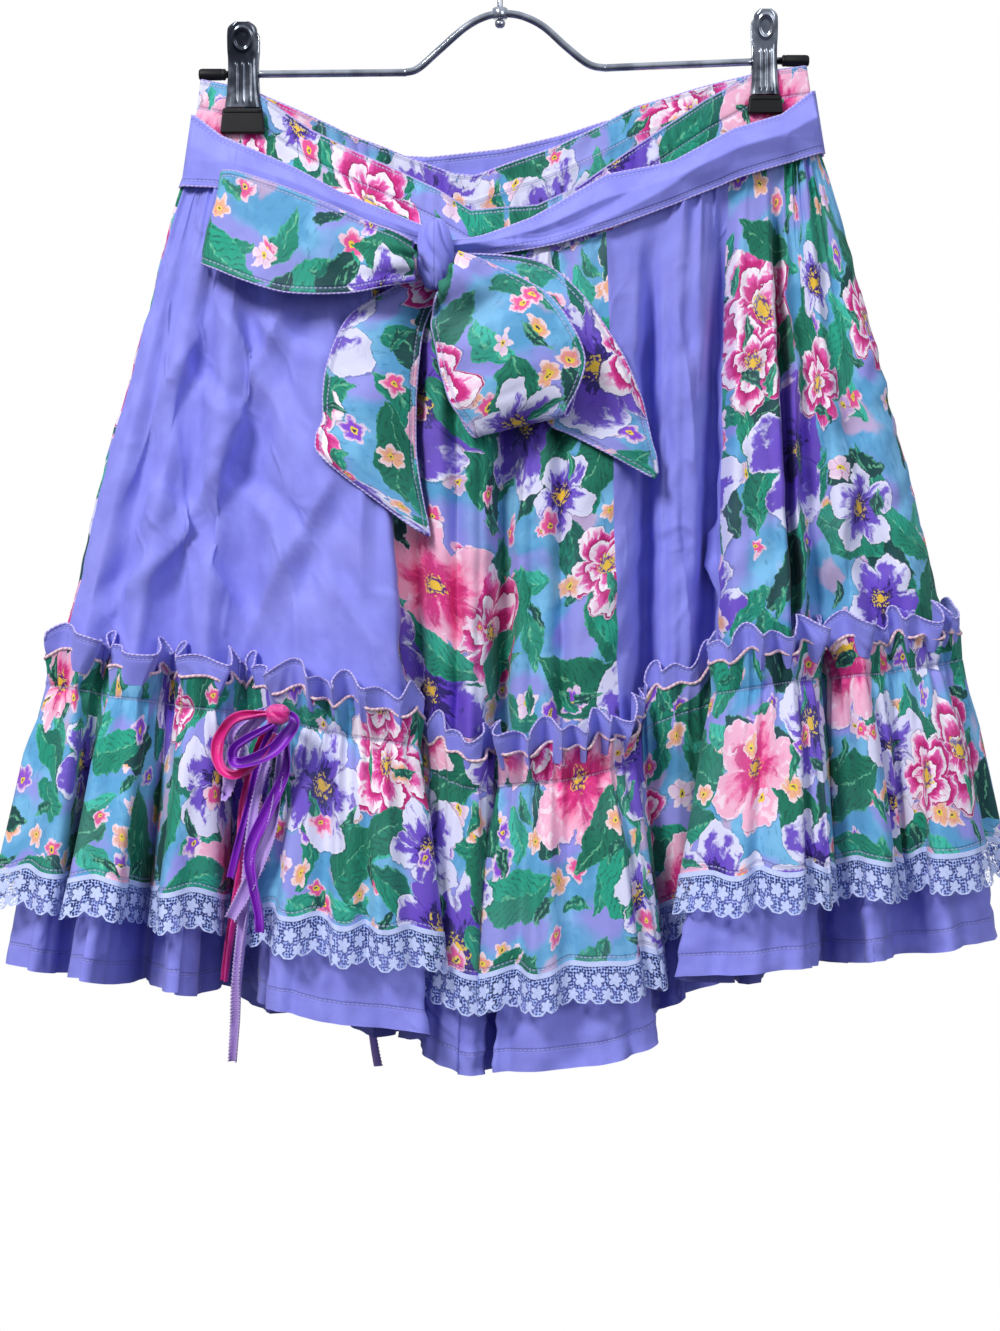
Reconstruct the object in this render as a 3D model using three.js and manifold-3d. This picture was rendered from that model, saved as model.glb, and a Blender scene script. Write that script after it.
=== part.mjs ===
// A ruffled mini skirt clipped to a wire hanger, in millimetres.
//
// Frame: +Z up, the front of the skirt faces -Y, +X is to the right as seen from the front.
// The origin is the inside top of the hanger's hook, where a rail would carry it.
//
// The cloth hangs as one ring that is worked out once, as a lattice of points: columns run round the
// skirt along its folds, rows run down it. Every piece of the skirt is a thin wall made from lattice
// points, and what is sewn on another piece is made from that piece's points, moved out.

import * as THREE from "three";
import Module from "manifold-3d";

const wasm = await Module();
wasm.setup();

// ---------------------------------------------------------------- sizes

const CLOTH = 1.2; // wall of one layer of cloth
const BAND_CLOTH = 1.5; // the waistband is folded double
const LACE_CLOTH = 1.0;
const SEAM_GAP = 0.3; // between pieces that are sewn together

const PANEL_LENGTH = 303; // waist seam to the ruffle's gathering stitches
const TIER_LENGTH = 162; // gathering stitches to hem
const HEADING_PRINT = 15; // printed heading above the stitches
const HEADING_BAND = 12; // plain band that edges the heading
const RUFFLE_LENGTH = 104; // stitches to the ruffle's lower edge
const LACE_DEPTH = 23;

const WAIST_HALF = 183; // half the width of the waist on the hanger
const WAIST_OPEN = 28; // how far front and back stand from the middle at the waist seam
const TOP_OPEN = 20; // the same at the top edge, half way between the clips
const PINCH = 1.9; // middle of each waistband layer, from the middle plane, in the clips
const SIDE_PINCH = 1.1; // the same at the side seams, pressed flat
const TOP_NARROWING = 0.956; // the elastic draws the top edge in
const PINCH_TO = 133; // from here to the sides the top edge is held flat

const SAMPLES = 3; // lattice columns for each fold row
const PANEL_ROWS = [0, 0.14, 0.5, 1];
const TIER_ROWS = [0.5, 1];
const GATHER_DEPTH = 1.5; // waist gathers, half their height
const GATHER_FADE = 0.35; // the share of a panel's length where they fade out

const WAVE_COLUMNS = 4; // ruffle columns in one wave
const RUFFLE_FINENESS = 2; // ruffle columns for each lattice column

const WIRE_R = 2.2;
const HOOK_R = 1.6;
const HOOK_BEND_R = 19;
// The clips. The right one is turned a little, so less of its width faces forwards.
const CLIPS = [
  { side: "left", x: -151, width: 1, low: 35.5 },
  { side: "right", x: 151, width: 0.8, low: 31.5 },
];

// ---------------------------------------------------------------- tables

// Edge heights of the waistband. It sags between the clips.
const FRONT_WAIST = [
  { x: -183, top: -101, seam: -158 },
  { x: -152, top: -107, seam: -162 },
  { x: -116, top: -131, seam: -173 },
  { x: -87, top: -146, seam: -184 },
  { x: -40, top: -168, seam: -201 },
  { x: -20, top: -180, seam: -207 },
  { x: 20, top: -177, seam: -206 },
  { x: 45, top: -166, seam: -199 },
  { x: 87, top: -137, seam: -179 },
  { x: 122, top: -113, seam: -156 },
  { x: 152, top: -97, seam: -147 },
  { x: 183, top: -93, seam: -144 },
];
const BACK_WAIST = [
  { x: -183, top: -101, seam: -158 },
  { x: -152, top: -107, seam: -161 },
  { x: -100, top: -128, seam: -178 },
  { x: -31, top: -151, seam: -199 },
  { x: -18, top: -152, seam: -200 },
  { x: 35, top: -134, seam: -190 },
  { x: 81, top: -113, seam: -171 },
  { x: 152, top: -97, seam: -148 },
  { x: 183, top: -93, seam: -144 },
];

// Fold lines from the left side round the front to the right side, then round the back.
// waist: x at the waist seam. seamX, seamOut: place at the ruffle's stitches. hemX, hemOut: place at the hem.
// out: distance from the middle plane, forwards on the front and backwards on the back.
// room: how freely the ruffle stands off the skirt there, 1 on open crests and nearly 0 in tight valleys.
const FRONT_FOLDS = [
  { name: "left side", waist: -183, seamX: -262, seamOut: 0, hemX: -292, hemOut: 0, room: 0.2 },
  { name: "A crest", waist: -178, seamX: -248, seamOut: 20, hemX: -272, hemOut: 36, room: 0.9 },
  { name: "A-B valley", waist: -173, seamX: -231, seamOut: 17, hemX: -252, hemOut: 20, room: 0.05 },
  { name: "B crest", waist: -166, seamX: -214, seamOut: 28, hemX: -236, hemOut: 62, room: 0.8 },
  { name: "B-C valley", waist: -158, seamX: -193, seamOut: 18, hemX: -209, hemOut: 14, room: 0.05 },
  { name: "C crest", waist: -150, seamX: -172, seamOut: 31, hemX: -186, hemOut: 60, room: 0.8 },
  { name: "C-D valley", waist: -142, seamX: -149, seamOut: 20, hemX: -160, hemOut: 9, room: 0.05 },
  { name: "D left", waist: -128, seamX: -122, seamOut: 35, hemX: -134, hemOut: 52, room: 1 },
  { name: "D middle", waist: -106, seamX: -92, seamOut: 41, hemX: -95, hemOut: 64, room: 1 },
  { name: "D right", waist: -86, seamX: -59, seamOut: 42, hemX: -55, hemOut: 60, room: 0.55 },
  { name: "D-E valley", waist: -70, seamX: -49, seamOut: 22, hemX: -46, hemOut: 27, room: 0.05 },
  { name: "E left", waist: -46, seamX: -34, seamOut: 28, hemX: -33, hemOut: 38, room: 0.12 },
  { name: "E crest", waist: -10, seamX: -18, seamOut: 38, hemX: -21, hemOut: 46, room: 0.5 },
  { name: "E-F valley", waist: 8, seamX: -6, seamOut: 20, hemX: -8, hemOut: 18, room: 0.05 },
  { name: "F left", waist: 22, seamX: 12, seamOut: 33, hemX: 10, hemOut: 46, room: 0.9 },
  { name: "F middle", waist: 38, seamX: 40, seamOut: 38, hemX: 47, hemOut: 56, room: 1 },
  { name: "F right", waist: 58, seamX: 64, seamOut: 32, hemX: 78, hemOut: 42, room: 0.8 },
  { name: "F-J valley", waist: 88, seamX: 78, seamOut: 15, hemX: 90, hemOut: 14, room: 0.05 },
  { name: "J crest", waist: 106, seamX: 97, seamOut: 24, hemX: 104, hemOut: 23, room: 0.05 },
  { name: "J-G valley", waist: 120, seamX: 116, seamOut: 17, hemX: 129, hemOut: 22, room: 0.05 },
  { name: "G left", waist: 129, seamX: 124, seamOut: 36, hemX: 109, hemOut: 50, room: 0.3 },
  { name: "G middle", waist: 142, seamX: 147, seamOut: 44, hemX: 140, hemOut: 68, room: 1 },
  { name: "G right", waist: 156, seamX: 170, seamOut: 40, hemX: 171, hemOut: 58, room: 0.9 },
  { name: "G-H valley", waist: 163, seamX: 182, seamOut: 18, hemX: 186, hemOut: 15, room: 0.05 },
  { name: "H crest", waist: 169, seamX: 200, seamOut: 34, hemX: 207, hemOut: 50, room: 0.9 },
  { name: "H valley", waist: 174, seamX: 220, seamOut: 24, hemX: 231, hemOut: 22, room: 0.3 },
  { name: "H side crest", waist: 179, seamX: 241, seamOut: 24, hemX: 258, hemOut: 38, room: 1 },
  { name: "right side", waist: 183, seamX: 262, seamOut: 0, hemX: 291, hemOut: 0, room: 0.2 },
];
const BACK_FOLDS = [
  { name: "back 1", waist: 178, seamX: 248, seamOut: 20, hemX: 272, hemOut: 36, room: 0.9 },
  { name: "back 2", waist: 168, seamX: 228, seamOut: 14, hemX: 252, hemOut: 14, room: 0.05 },
  { name: "back 3", waist: 154, seamX: 205, seamOut: 33, hemX: 226, hemOut: 60, room: 0.9 },
  { name: "back 4", waist: 140, seamX: 181, seamOut: 18, hemX: 199, hemOut: 13, room: 0.05 },
  { name: "back 5", waist: 126, seamX: 158, seamOut: 37, hemX: 172, hemOut: 57, room: 0.9 },
  { name: "back 6", waist: 110, seamX: 134, seamOut: 20, hemX: 145, hemOut: 14, room: 0.05 },
  { name: "back 7", waist: 94, seamX: 109, seamOut: 41, hemX: 116, hemOut: 66, room: 1 },
  { name: "back 8", waist: 76, seamX: 84, seamOut: 22, hemX: 90, hemOut: 18, room: 0.05 },
  { name: "back 9", waist: 58, seamX: 60, seamOut: 42, hemX: 62, hemOut: 63, room: 0.9 },
  { name: "back 10", waist: 38, seamX: 36, seamOut: 24, hemX: 36, hemOut: 16, room: 0.05 },
  { name: "back 11", waist: 18, seamX: 11, seamOut: 42, hemX: 8, hemOut: 61, room: 1 },
  { name: "back 12", waist: -4, seamX: -14, seamOut: 24, hemX: -19, hemOut: 14, room: 0.05 },
  { name: "back 13", waist: -26, seamX: -40, seamOut: 40, hemX: -46, hemOut: 66, room: 0.9 },
  { name: "back 14", waist: -50, seamX: -66, seamOut: 22, hemX: -76, hemOut: 20, room: 0.05 },
  { name: "back 15", waist: -72, seamX: -94, seamOut: 40, hemX: -106, hemOut: 62, room: 1 },
  { name: "back 16", waist: -94, seamX: -122, seamOut: 20, hemX: -136, hemOut: 14, room: 0.05 },
  { name: "back 17", waist: -114, seamX: -150, seamOut: 36, hemX: -166, hemOut: 60, room: 0.9 },
  { name: "back 18", waist: -134, seamX: -179, seamOut: 18, hemX: -197, hemOut: 12, room: 0.05 },
  { name: "back 19", waist: -154, seamX: -208, seamOut: 32, hemX: -228, hemOut: 56, room: 0.9 },
  { name: "back 20", waist: -170, seamX: -236, seamOut: 15, hemX: -260, hemOut: 15, room: 0.05 },
];
const FOLDS = [
  ...FRONT_FOLDS.map((fold) => ({ ...fold, facing: -1 })),
  ...BACK_FOLDS.map((fold) => ({ ...fold, facing: 1 })),
];
const RIGHT_SIDE = FRONT_FOLDS.length - 1;

// The eight gores, from one fold row to another. Rows past the last one run on round the ring.
const PANELS = [
  { name: "panel_front_left_plain", from: 1 / 3, to: 9 + 1 / 3, cloth: "plain" },
  { name: "panel_front_print", from: 9 + 1 / 3, to: 16, cloth: "print" },
  { name: "panel_front_right_plain", from: 16, to: 19 + 1 / 3, cloth: "plain" },
  { name: "panel_right_print", from: 19 + 1 / 3, to: 29, cloth: "print" },
  { name: "panel_back_right_plain", from: 29, to: 34, cloth: "plain" },
  { name: "panel_back_print", from: 34, to: 41, cloth: "print" },
  { name: "panel_back_left_plain", from: 41, to: 45, cloth: "plain" },
  { name: "panel_left_print", from: 45, to: 48 + 1 / 3, cloth: "print" },
];

// The sash's edges where it lies round the waist.
const SASH_LEFT = [
  { x: -184, top: -121, low: -163 },
  { x: -165, top: -135, low: -165 },
  { x: -121, top: -155, low: -175 },
  { x: -96, top: -169, low: -185 },
  { x: -50, top: -188, low: -200 },
];
const SASH_RIGHT = [
  { x: -26, top: -198, low: -207 },
  { x: -12, top: -195, low: -207 },
  { x: 16, top: -185, low: -203 },
  { x: 31, top: -177, low: -200 },
  { x: 60, top: -160, low: -191 },
  { x: 99, top: -151, low: -176 },
  { x: 134, top: -132, low: -161 },
  { x: 162, top: -123, low: -151 },
  { x: 184, top: -107, low: -143 },
];
const SASH_BACK = [
  { x: -184, top: -121, low: -163 },
  { x: -166, top: -137, low: -172 },
  { x: -116, top: -139, low: -178 },
  { x: -46, top: -141, low: -182 },
  { x: 0, top: -136, low: -176 },
  { x: 35, top: -128, low: -168 },
  { x: 62, top: -120, low: -160 },
  { x: 116, top: -124, low: -162 },
  { x: 140, top: -126, low: -162 },
  { x: 164, top: -124, low: -156 },
  { x: 184, top: -108, low: -143 },
];

// The bow. Each strip is given by its two edges, from the knot outwards, and by how far it stands
// off what lies under it. curl: how far its middle bulges out between the edges.
const BOW_TAIL_LEFT = [
  { ax: -38, az: -215, bx: -33, bz: -224, stand: 4, curl: 1 },
  { ax: -60, az: -224, bx: -41, bz: -236, stand: 4, curl: 3 },
  { ax: -88, az: -242, bx: -47, bz: -255, stand: 3, curl: 4 },
  { ax: -101, az: -272, bx: -50, bz: -285, stand: 3, curl: 4 },
  { ax: -103, az: -300, bx: -50, bz: -318, stand: 3, curl: 3 },
  { ax: -103, az: -322, bx: -46, bz: -346, stand: 3, curl: 2 },
  { ax: -45, az: -365.5, bx: -42, bz: -367, stand: 3, curl: 0 },
];
const BOW_TAIL_RIGHT = [
  { ax: -33, az: -207, bx: -36, bz: -219, stand: 3, curl: 1 },
  { ax: 2, az: -208, bx: -12, bz: -234, stand: 4, curl: 3 },
  { ax: 30, az: -216, bx: 0, bz: -258, stand: 4, curl: 4 },
  { ax: 56, az: -245, bx: 14, bz: -284, stand: 3, curl: 4 },
  { ax: 73, az: -275, bx: 26, bz: -303, stand: 3, curl: 3 },
  { ax: 81, az: -297, bx: 38, bz: -309, stand: 3, curl: 1 },
  { ax: 88, az: -330, bx: 86, bz: -333.5, stand: 3, curl: 0 },
];
const BOW_LOOP_RIGHT = [
  { ax: -25, az: -211, bx: -35, bz: -233, stand: 3, curl: 1 },
  { ax: -2, az: -224, bx: -38, bz: -244, stand: 5, curl: 3 },
  { ax: 28, az: -238, bx: -36, bz: -266, stand: 6, curl: 5 },
  { ax: 42, az: -266, bx: -28, bz: -292, stand: 6, curl: 4 },
  { ax: 38, az: -294, bx: -20, bz: -308, stand: 8, curl: 1 },
  { ax: 34, az: -299, bx: -16, bz: -311, stand: 13, curl: 0 },
  { ax: 36, az: -294, bx: -18, bz: -308, stand: 18, curl: 1 },
  { ax: 45, az: -268, bx: -30, bz: -292, stand: 21, curl: 4 },
  { ax: 26, az: -234, bx: -38, bz: -264, stand: 20, curl: 5 },
  { ax: -3, az: -217, bx: -40, bz: -244, stand: 17, curl: 3 },
  { ax: -25, az: -208, bx: -37, bz: -231, stand: 13, curl: 0 },
];
const BOW_LOOP_LEFT = [
  { ax: -51, az: -201, bx: -50, bz: -224, stand: 3, curl: 0 },
  { ax: -80, az: -188, bx: -78, bz: -226, stand: 4, curl: 0 },
  { ax: -120, az: -174, bx: -118, bz: -226, stand: 4, curl: 0 },
  { ax: -152, az: -161, bx: -160, bz: -213, stand: 4, curl: 0 },
  { ax: -160, az: -160, bx: -171, bz: -211, stand: 7, curl: 0 },
  { ax: -161, az: -159, bx: -173, bz: -210, stand: 11, curl: 0 },
  { ax: -152, az: -160, bx: -163, bz: -215, stand: 15, curl: 2 },
  { ax: -118, az: -173, bx: -126, bz: -229, stand: 19, curl: 4 },
  { ax: -78, az: -190, bx: -84, bz: -230, stand: 19, curl: 4 },
  { ax: -51, az: -204, bx: -50, bz: -225, stand: 14, curl: 0 },
];

// Ribbons tied on the ruffle's heading, each as a path down its middle, from the knot.
const RIBBON_WIDTH = 10;
const RIBBON_CLOTH = 1.2;
const RIBBONS = [
  {
    name: "ribbon_magenta_tail", color: "magenta", path: [
      { x: -128, z: -468, stand: 2.5 }, { x: -137, z: -486, stand: 2 }, { x: -146, z: -520, stand: 2.5 },
      { x: -148, z: -560, stand: 2.5 }, { x: -153, z: -590, stand: 2.2 }, { x: -157, z: -619, stand: 2.2 },
    ],
  },
  {
    name: "ribbon_purple_tail_short", color: "purple", path: [
      { x: -127, z: -470, stand: 2.5 }, { x: -138, z: -500, stand: 2.5 }, { x: -146, z: -534, stand: 2.5 },
      { x: -152, z: -560, stand: 2.5 },
    ],
  },
  {
    name: "ribbon_pale_tail_long", color: "pale", path: [
      { x: -128, z: -478, stand: 2.5 }, { x: -138, z: -514, stand: 2.5 }, { x: -142, z: -560, stand: 2.5 },
      { x: -146, z: -600, stand: 4 }, { x: -148, z: -622, stand: 4.5 }, { x: -149, z: -640, stand: 4 },
      { x: -151, z: -663, stand: 3 },
    ],
  },
  {
    name: "ribbon_pale_tail_short", color: "pale", path: [
      { x: -124, z: -478, stand: 2.5 }, { x: -127, z: -520, stand: 2.5 }, { x: -137, z: -552, stand: 2.5 },
      { x: -151, z: -582, stand: 2.5 },
    ],
  },
  {
    name: "ribbon_purple_tail", color: "purple", path: [
      { x: -122, z: -476, stand: 2.5 }, { x: -122, z: -500, stand: 2.5 }, { x: -138, z: -536, stand: 2.5 },
      { x: -141, z: -552, stand: 2.5 }, { x: -135, z: -576, stand: 2.5 }, { x: -134, z: -588, stand: 2.5 },
    ],
  },
  {
    name: "ribbon_pale_loop", color: "pale", path: [
      { x: -133, z: -466, stand: 2 }, { x: -152, z: -478, stand: 2 }, { x: -159, z: -500, stand: 3 },
      { x: -156, z: -514, stand: 6 }, { x: -151, z: -500, stand: 9 }, { x: -144, z: -480, stand: 9 },
      { x: -130, z: -467, stand: 6 },
    ],
  },
  {
    name: "ribbon_magenta_loop", color: "magenta", path: [
      { x: -129, z: -468, stand: 2 }, { x: -150, z: -471, stand: 2 }, { x: -161, z: -487, stand: 4 },
      { x: -154, z: -499, stand: 7 }, { x: -140, z: -497, stand: 8 }, { x: -127, z: -478, stand: 6 },
    ],
  },
  {
    name: "ribbon_purple_loop", color: "purple", path: [
      { x: -126, z: -466, stand: 2 }, { x: -118, z: -472, stand: 3 }, { x: -128, z: -487, stand: 4 },
      { x: -147, z: -494, stand: 6 }, { x: -148, z: -486, stand: 9 }, { x: -134, z: -477, stand: 10 },
      { x: -121, z: -470, stand: 7 },
    ],
  },
];
const RIBBON_BEHIND = [
  { x: -84, z: -600, stand: 2 }, { x: -82, z: -650, stand: 2 }, { x: -77, z: -679, stand: 2 },
];

const HANGER_WIRE = [
  { x: -161, z: -97.3 }, { x: -57, z: -96.1 }, { x: -49.5, z: -93.6 }, { x: -38.5, z: -84 }, { x: -23, z: -70.4 },
  { x: -11, z: -63.8 }, { x: 0, z: -62 }, { x: 11, z: -63.6 }, { x: 23, z: -69.6 }, { x: 36, z: -81.2 },
  { x: 48.5, z: -91 }, { x: 58, z: -93.4 }, { x: 161, z: -89.3 },
];
const HOOK_SHANK_X = -2.3;

// ---------------------------------------------------------------- materials

const MATERIALS = {
  plain: { color: 0x8f86dc, roughness: 0.85 },
  print: { color: 0x5fa3b8, roughness: 0.82 },
  lace: { color: 0xd9dcf6, roughness: 0.8 },
  magenta: { color: 0xd42a8e, roughness: 0.45 },
  purple: { color: 0x7a1fb5, roughness: 0.45 },
  pale: { color: 0xc6a6e4, roughness: 0.5 },
  chrome: { color: 0xc9ced4, roughness: 0.15, metalness: 1 },
  rubber: { color: 0x0d0d10, roughness: 0.6 },
};

const skirt = new THREE.Group();
skirt.name = "ruffled_mini_skirt";

const laid = []; // triangles of everything added so far, as flat lists of three corners

function remember(mesh) {
  const position = mesh.geometry.getAttribute("position");
  const index = mesh.geometry.getIndex();
  const corner = (i) => new THREE.Vector3().fromBufferAttribute(position, index.getX(i));
  for (let i = 0; i < index.count; i += 3) {
    const [a, b, c] = [corner(i), corner(i + 1), corner(i + 2)];
    const area = (b.x - a.x) * (c.z - a.z) - (c.x - a.x) * (b.z - a.z);
    if (Math.abs(area) > 1e-6) laid.push({ a, b, c, area });
  }
}

function addPiece(name, geometry, finish) {
  const mesh = new THREE.Mesh(geometry, new THREE.MeshStandardMaterial(MATERIALS[finish]));
  mesh.name = name;
  skirt.add(mesh);
  remember(mesh);
}

// ---------------------------------------------------------------- numbers along curves

const lerp = THREE.MathUtils.lerp;

// Smooth value through a list, at a place counted in rows. A closed list runs on round its end.
function smoothValue(values, place, closed) {
  const n = values.length;
  const pick = (i) => (closed ? values[((i % n) + n) % n] : values[Math.min(Math.max(i, 0), n - 1)]);
  const i = Math.floor(place);
  const t = place - i;
  const [a, b, c, d] = [pick(i - 1), pick(i), pick(i + 1), pick(i + 2)];
  return b + 0.5 * t * (c - a + t * (2 * a - 5 * b + 4 * c - d + t * (3 * (b - c) + d - a)));
}

// Straight-line value of a table's column at x.
function tableValue(table, x, column) {
  const last = table.length - 1;
  if (x <= table[0].x) return table[0][column];
  if (x >= table[last].x) return table[last][column];
  const i = table.findIndex((row) => row.x > x);
  const [a, b] = [table[i - 1], table[i]];
  return lerp(a[column], b[column], (x - a.x) / (b.x - a.x));
}

const waistTable = (facing) => (facing < 0 ? FRONT_WAIST : BACK_WAIST);

// How far the cloth stands from the middle plane at the waist seam and at the top edge.
const seamOpening = (x) => WAIST_OPEN * Math.pow(Math.max(0, 1 - (x / (WAIST_HALF + 0.5)) ** 2), 0.6);
function topOpening(x) {
  const reach = Math.abs(x);
  const sag = Math.max(0, 1 - (reach / PINCH_TO) ** 2);
  return PINCH + TOP_OPEN * sag * sag * (3 - 2 * sag);
}

// ---------------------------------------------------------------- the ring of cloth

const COLUMNS = FOLDS.length * SAMPLES;
const column = (key) => FOLDS.map((fold) => fold[key]);
const columnOut = (key) => FOLDS.map((fold) => fold.facing * fold[key]);
const TRACKS = {
  waistX: column("waist"),
  waistY: FOLDS.map((fold) => fold.facing * seamOpening(fold.waist)),
  waistZ: FOLDS.map((fold) => tableValue(waistTable(fold.facing), fold.waist, "seam")),
  seamX: column("seamX"),
  seamY: columnOut("seamOut"),
  hemX: column("hemX"),
  hemY: columnOut("hemOut"),
  room: column("room"),
};
const track = (key, place) => smoothValue(TRACKS[key], place, true);

// The cloth's point at a fold row, and at a share of the way down: 0 waist seam, 1 stitches, 2 hem.
function fallPoint(place, down) {
  const waist = new THREE.Vector3(track("waistX", place), track("waistY", place), track("waistZ", place));
  const seam = new THREE.Vector3(track("seamX", place), track("seamY", place), 0);
  const run = Math.hypot(seam.x - waist.x, seam.y - waist.y);
  seam.z = waist.z - Math.sqrt(PANEL_LENGTH ** 2 - run ** 2);
  if (down <= 1) {
    const spread = Math.pow(down, 0.9);
    const point = waist.clone().lerp(seam, spread);
    point.z = lerp(waist.z, seam.z, down);
    return point;
  }
  const hem = new THREE.Vector3(track("hemX", place), track("hemY", place), 0);
  const hemRun = Math.hypot(hem.x - seam.x, hem.y - seam.y);
  hem.z = seam.z - Math.sqrt(TIER_LENGTH ** 2 - hemRun ** 2);
  return seam.lerp(hem, down - 1);
}

const LEVELS = [...PANEL_ROWS, ...TIER_ROWS.map((share) => 1 + share)];
const levelMm = (level) => (level <= 1 ? level * PANEL_LENGTH : PANEL_LENGTH + (level - 1) * TIER_LENGTH);
const LEVELS_MM = LEVELS.map(levelMm);

// Unit normal of a grid of points at row r, column c, on the outer side.
function gridNormal(grid, r, c, closed) {
  const width = grid[0].length;
  const at = (i) => (closed ? (i + width) % width : Math.min(Math.max(i, 0), width - 1));
  const right = grid[r][at(c + 1)].clone().sub(grid[r][at(c - 1)]);
  const down = grid[Math.min(r + 1, grid.length - 1)][c].clone().sub(grid[Math.max(r - 1, 0)][c]);
  return down.cross(right).normalize();
}

function makeLattice() {
  const points = LEVELS.map((level) =>
    Array.from({ length: COLUMNS }, (_, c) => fallPoint(c / SAMPLES, level)),
  );
  const flat = points.map((row) => row.map((point) => point.clone()));
  points.forEach((row, r) => {
    const fade = Math.max(0, 1 - LEVELS[r] / GATHER_FADE);
    row.forEach((point, c) => {
      const wave = Math.cos((2 * Math.PI * c) / SAMPLES) * GATHER_DEPTH * fade;
      point.addScaledVector(gridNormal(flat, r, c, true).setZ(0).normalize(), wave);
    });
  });
  const normals = points.map((row, r) => row.map((_, c) => gridNormal(points, r, c, true)));
  const seams = [0, LEVELS.indexOf(1)];
  for (const r of seams) normals[r].forEach((normal) => normal.setZ(0).normalize());
  return { points, normals };
}
const LATTICE = makeLattice();

// Point and normal of the lattice's faceted surface, at a length down the cloth and a column place.
function onLattice(mm, place) {
  let r = LEVELS_MM.findIndex((level) => level > mm) - 1;
  if (r < 0) r = LEVELS_MM.length - 2;
  const down = (mm - LEVELS_MM[r]) / (LEVELS_MM[r + 1] - LEVELS_MM[r]);
  const whole = Math.floor(place + 1e-9);
  const across = place - whole;
  const [c0, c1] = [whole % COLUMNS, (whole + 1) % COLUMNS];
  const blend = (grid) =>
    grid[r][c0].clone().lerp(grid[r][c1], across).lerp(grid[r + 1][c0].clone().lerp(grid[r + 1][c1], across), down);
  return { point: blend(LATTICE.points), normal: blend(LATTICE.normals).normalize() };
}

// ---------------------------------------------------------------- walls

// A closed solid from matching outer and inner grids of points, rows down and columns to the right.
function solidBetween(outer, inner) {
  const [rows, width] = [outer.length, outer[0].length];
  const positions = [...outer.flat(), ...inner.flat()].flatMap((p) => [p.x, p.y, p.z]);
  const out = (r, c) => r * width + c;
  const inn = (r, c) => rows * width + r * width + c;
  const index = [];
  const quad = (a, b, c, d) => index.push(a, b, c, a, c, d);
  for (let r = 0; r + 1 < rows; r++)
    for (let c = 0; c + 1 < width; c++) {
      quad(out(r, c), out(r + 1, c), out(r + 1, c + 1), out(r, c + 1));
      quad(inn(r, c), inn(r, c + 1), inn(r + 1, c + 1), inn(r + 1, c));
    }
  for (let c = 0; c + 1 < width; c++) {
    quad(out(0, c), out(0, c + 1), inn(0, c + 1), inn(0, c));
    quad(out(rows - 1, c), inn(rows - 1, c), inn(rows - 1, c + 1), out(rows - 1, c + 1));
  }
  for (let r = 0; r + 1 < rows; r++) {
    quad(out(r, 0), inn(r, 0), inn(r + 1, 0), out(r + 1, 0));
    quad(out(r, width - 1), out(r + 1, width - 1), inn(r + 1, width - 1), inn(r, width - 1));
  }
  const geometry = new THREE.BufferGeometry();
  geometry.setAttribute("position", new THREE.Float32BufferAttribute(positions, 3));
  geometry.setIndex(index);
  geometry.computeVertexNormals();
  return geometry;
}

// A wall round a grid of middle points. Its border columns are drawn in by half a seam gap.
function wall(points, normals, thickness, trimEnds = true) {
  const last = points[0].length - 1;
  const trimmed = points.map((row) => {
    const copy = row.map((point) => point.clone());
    if (trimEnds) {
      const pull = (end, next) => copy[end].add(row[next].clone().sub(row[end]).setLength(SEAM_GAP / 2));
      pull(0, 1);
      pull(last, last - 1);
    }
    return copy;
  });
  const moved = (side) =>
    trimmed.map((row, r) => row.map((p, c) => p.clone().addScaledVector(normals[r][c], (side * thickness) / 2)));
  return solidBetween(moved(1), moved(-1));
}

// ---------------------------------------------------------------- panels and tier

function makePanels() {
  const rows = LEVELS_MM.filter((mm) => mm <= PANEL_LENGTH);
  for (const { name, from, to, cloth } of PANELS) {
    const first = Math.round(from * SAMPLES);
    const count = Math.round(to * SAMPLES) - first + 1;
    const pick = (grid) =>
      rows.map((_, r) => Array.from({ length: count }, (_, i) => grid[r][(first + i) % COLUMNS].clone()));
    const points = pick(LATTICE.points);
    points[0].forEach((point) => (point.z -= SEAM_GAP / 2));
    points[rows.length - 1].forEach((point) => (point.z += SEAM_GAP / 2));
    addPiece(name, wall(points, pick(LATTICE.normals), CLOTH), cloth);
  }
}

// Front and back halves of whatever runs right round the skirt.
const HALVES = [
  { half: "front", from: 0, to: RIGHT_SIDE * SAMPLES, facing: -1 },
  { half: "back", from: RIGHT_SIDE * SAMPLES, to: COLUMNS, facing: 1 },
];

function makeTier() {
  const rows = LEVELS_MM.filter((mm) => mm >= PANEL_LENGTH);
  const first = LEVELS_MM.indexOf(PANEL_LENGTH);
  for (const { half, from, to } of HALVES) {
    const pick = (grid) =>
      rows.map((_, r) =>
        Array.from({ length: to - from + 1 }, (_, i) => grid[first + r][(from + i) % COLUMNS].clone()),
      );
    const points = pick(LATTICE.points);
    points[0].forEach((point) => (point.z -= SEAM_GAP / 2));
    addPiece(`tier_${half}`, wall(points, pick(LATTICE.normals), CLOTH), "plain");
  }
}

// ---------------------------------------------------------------- ruffle, its edging and its lace

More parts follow.
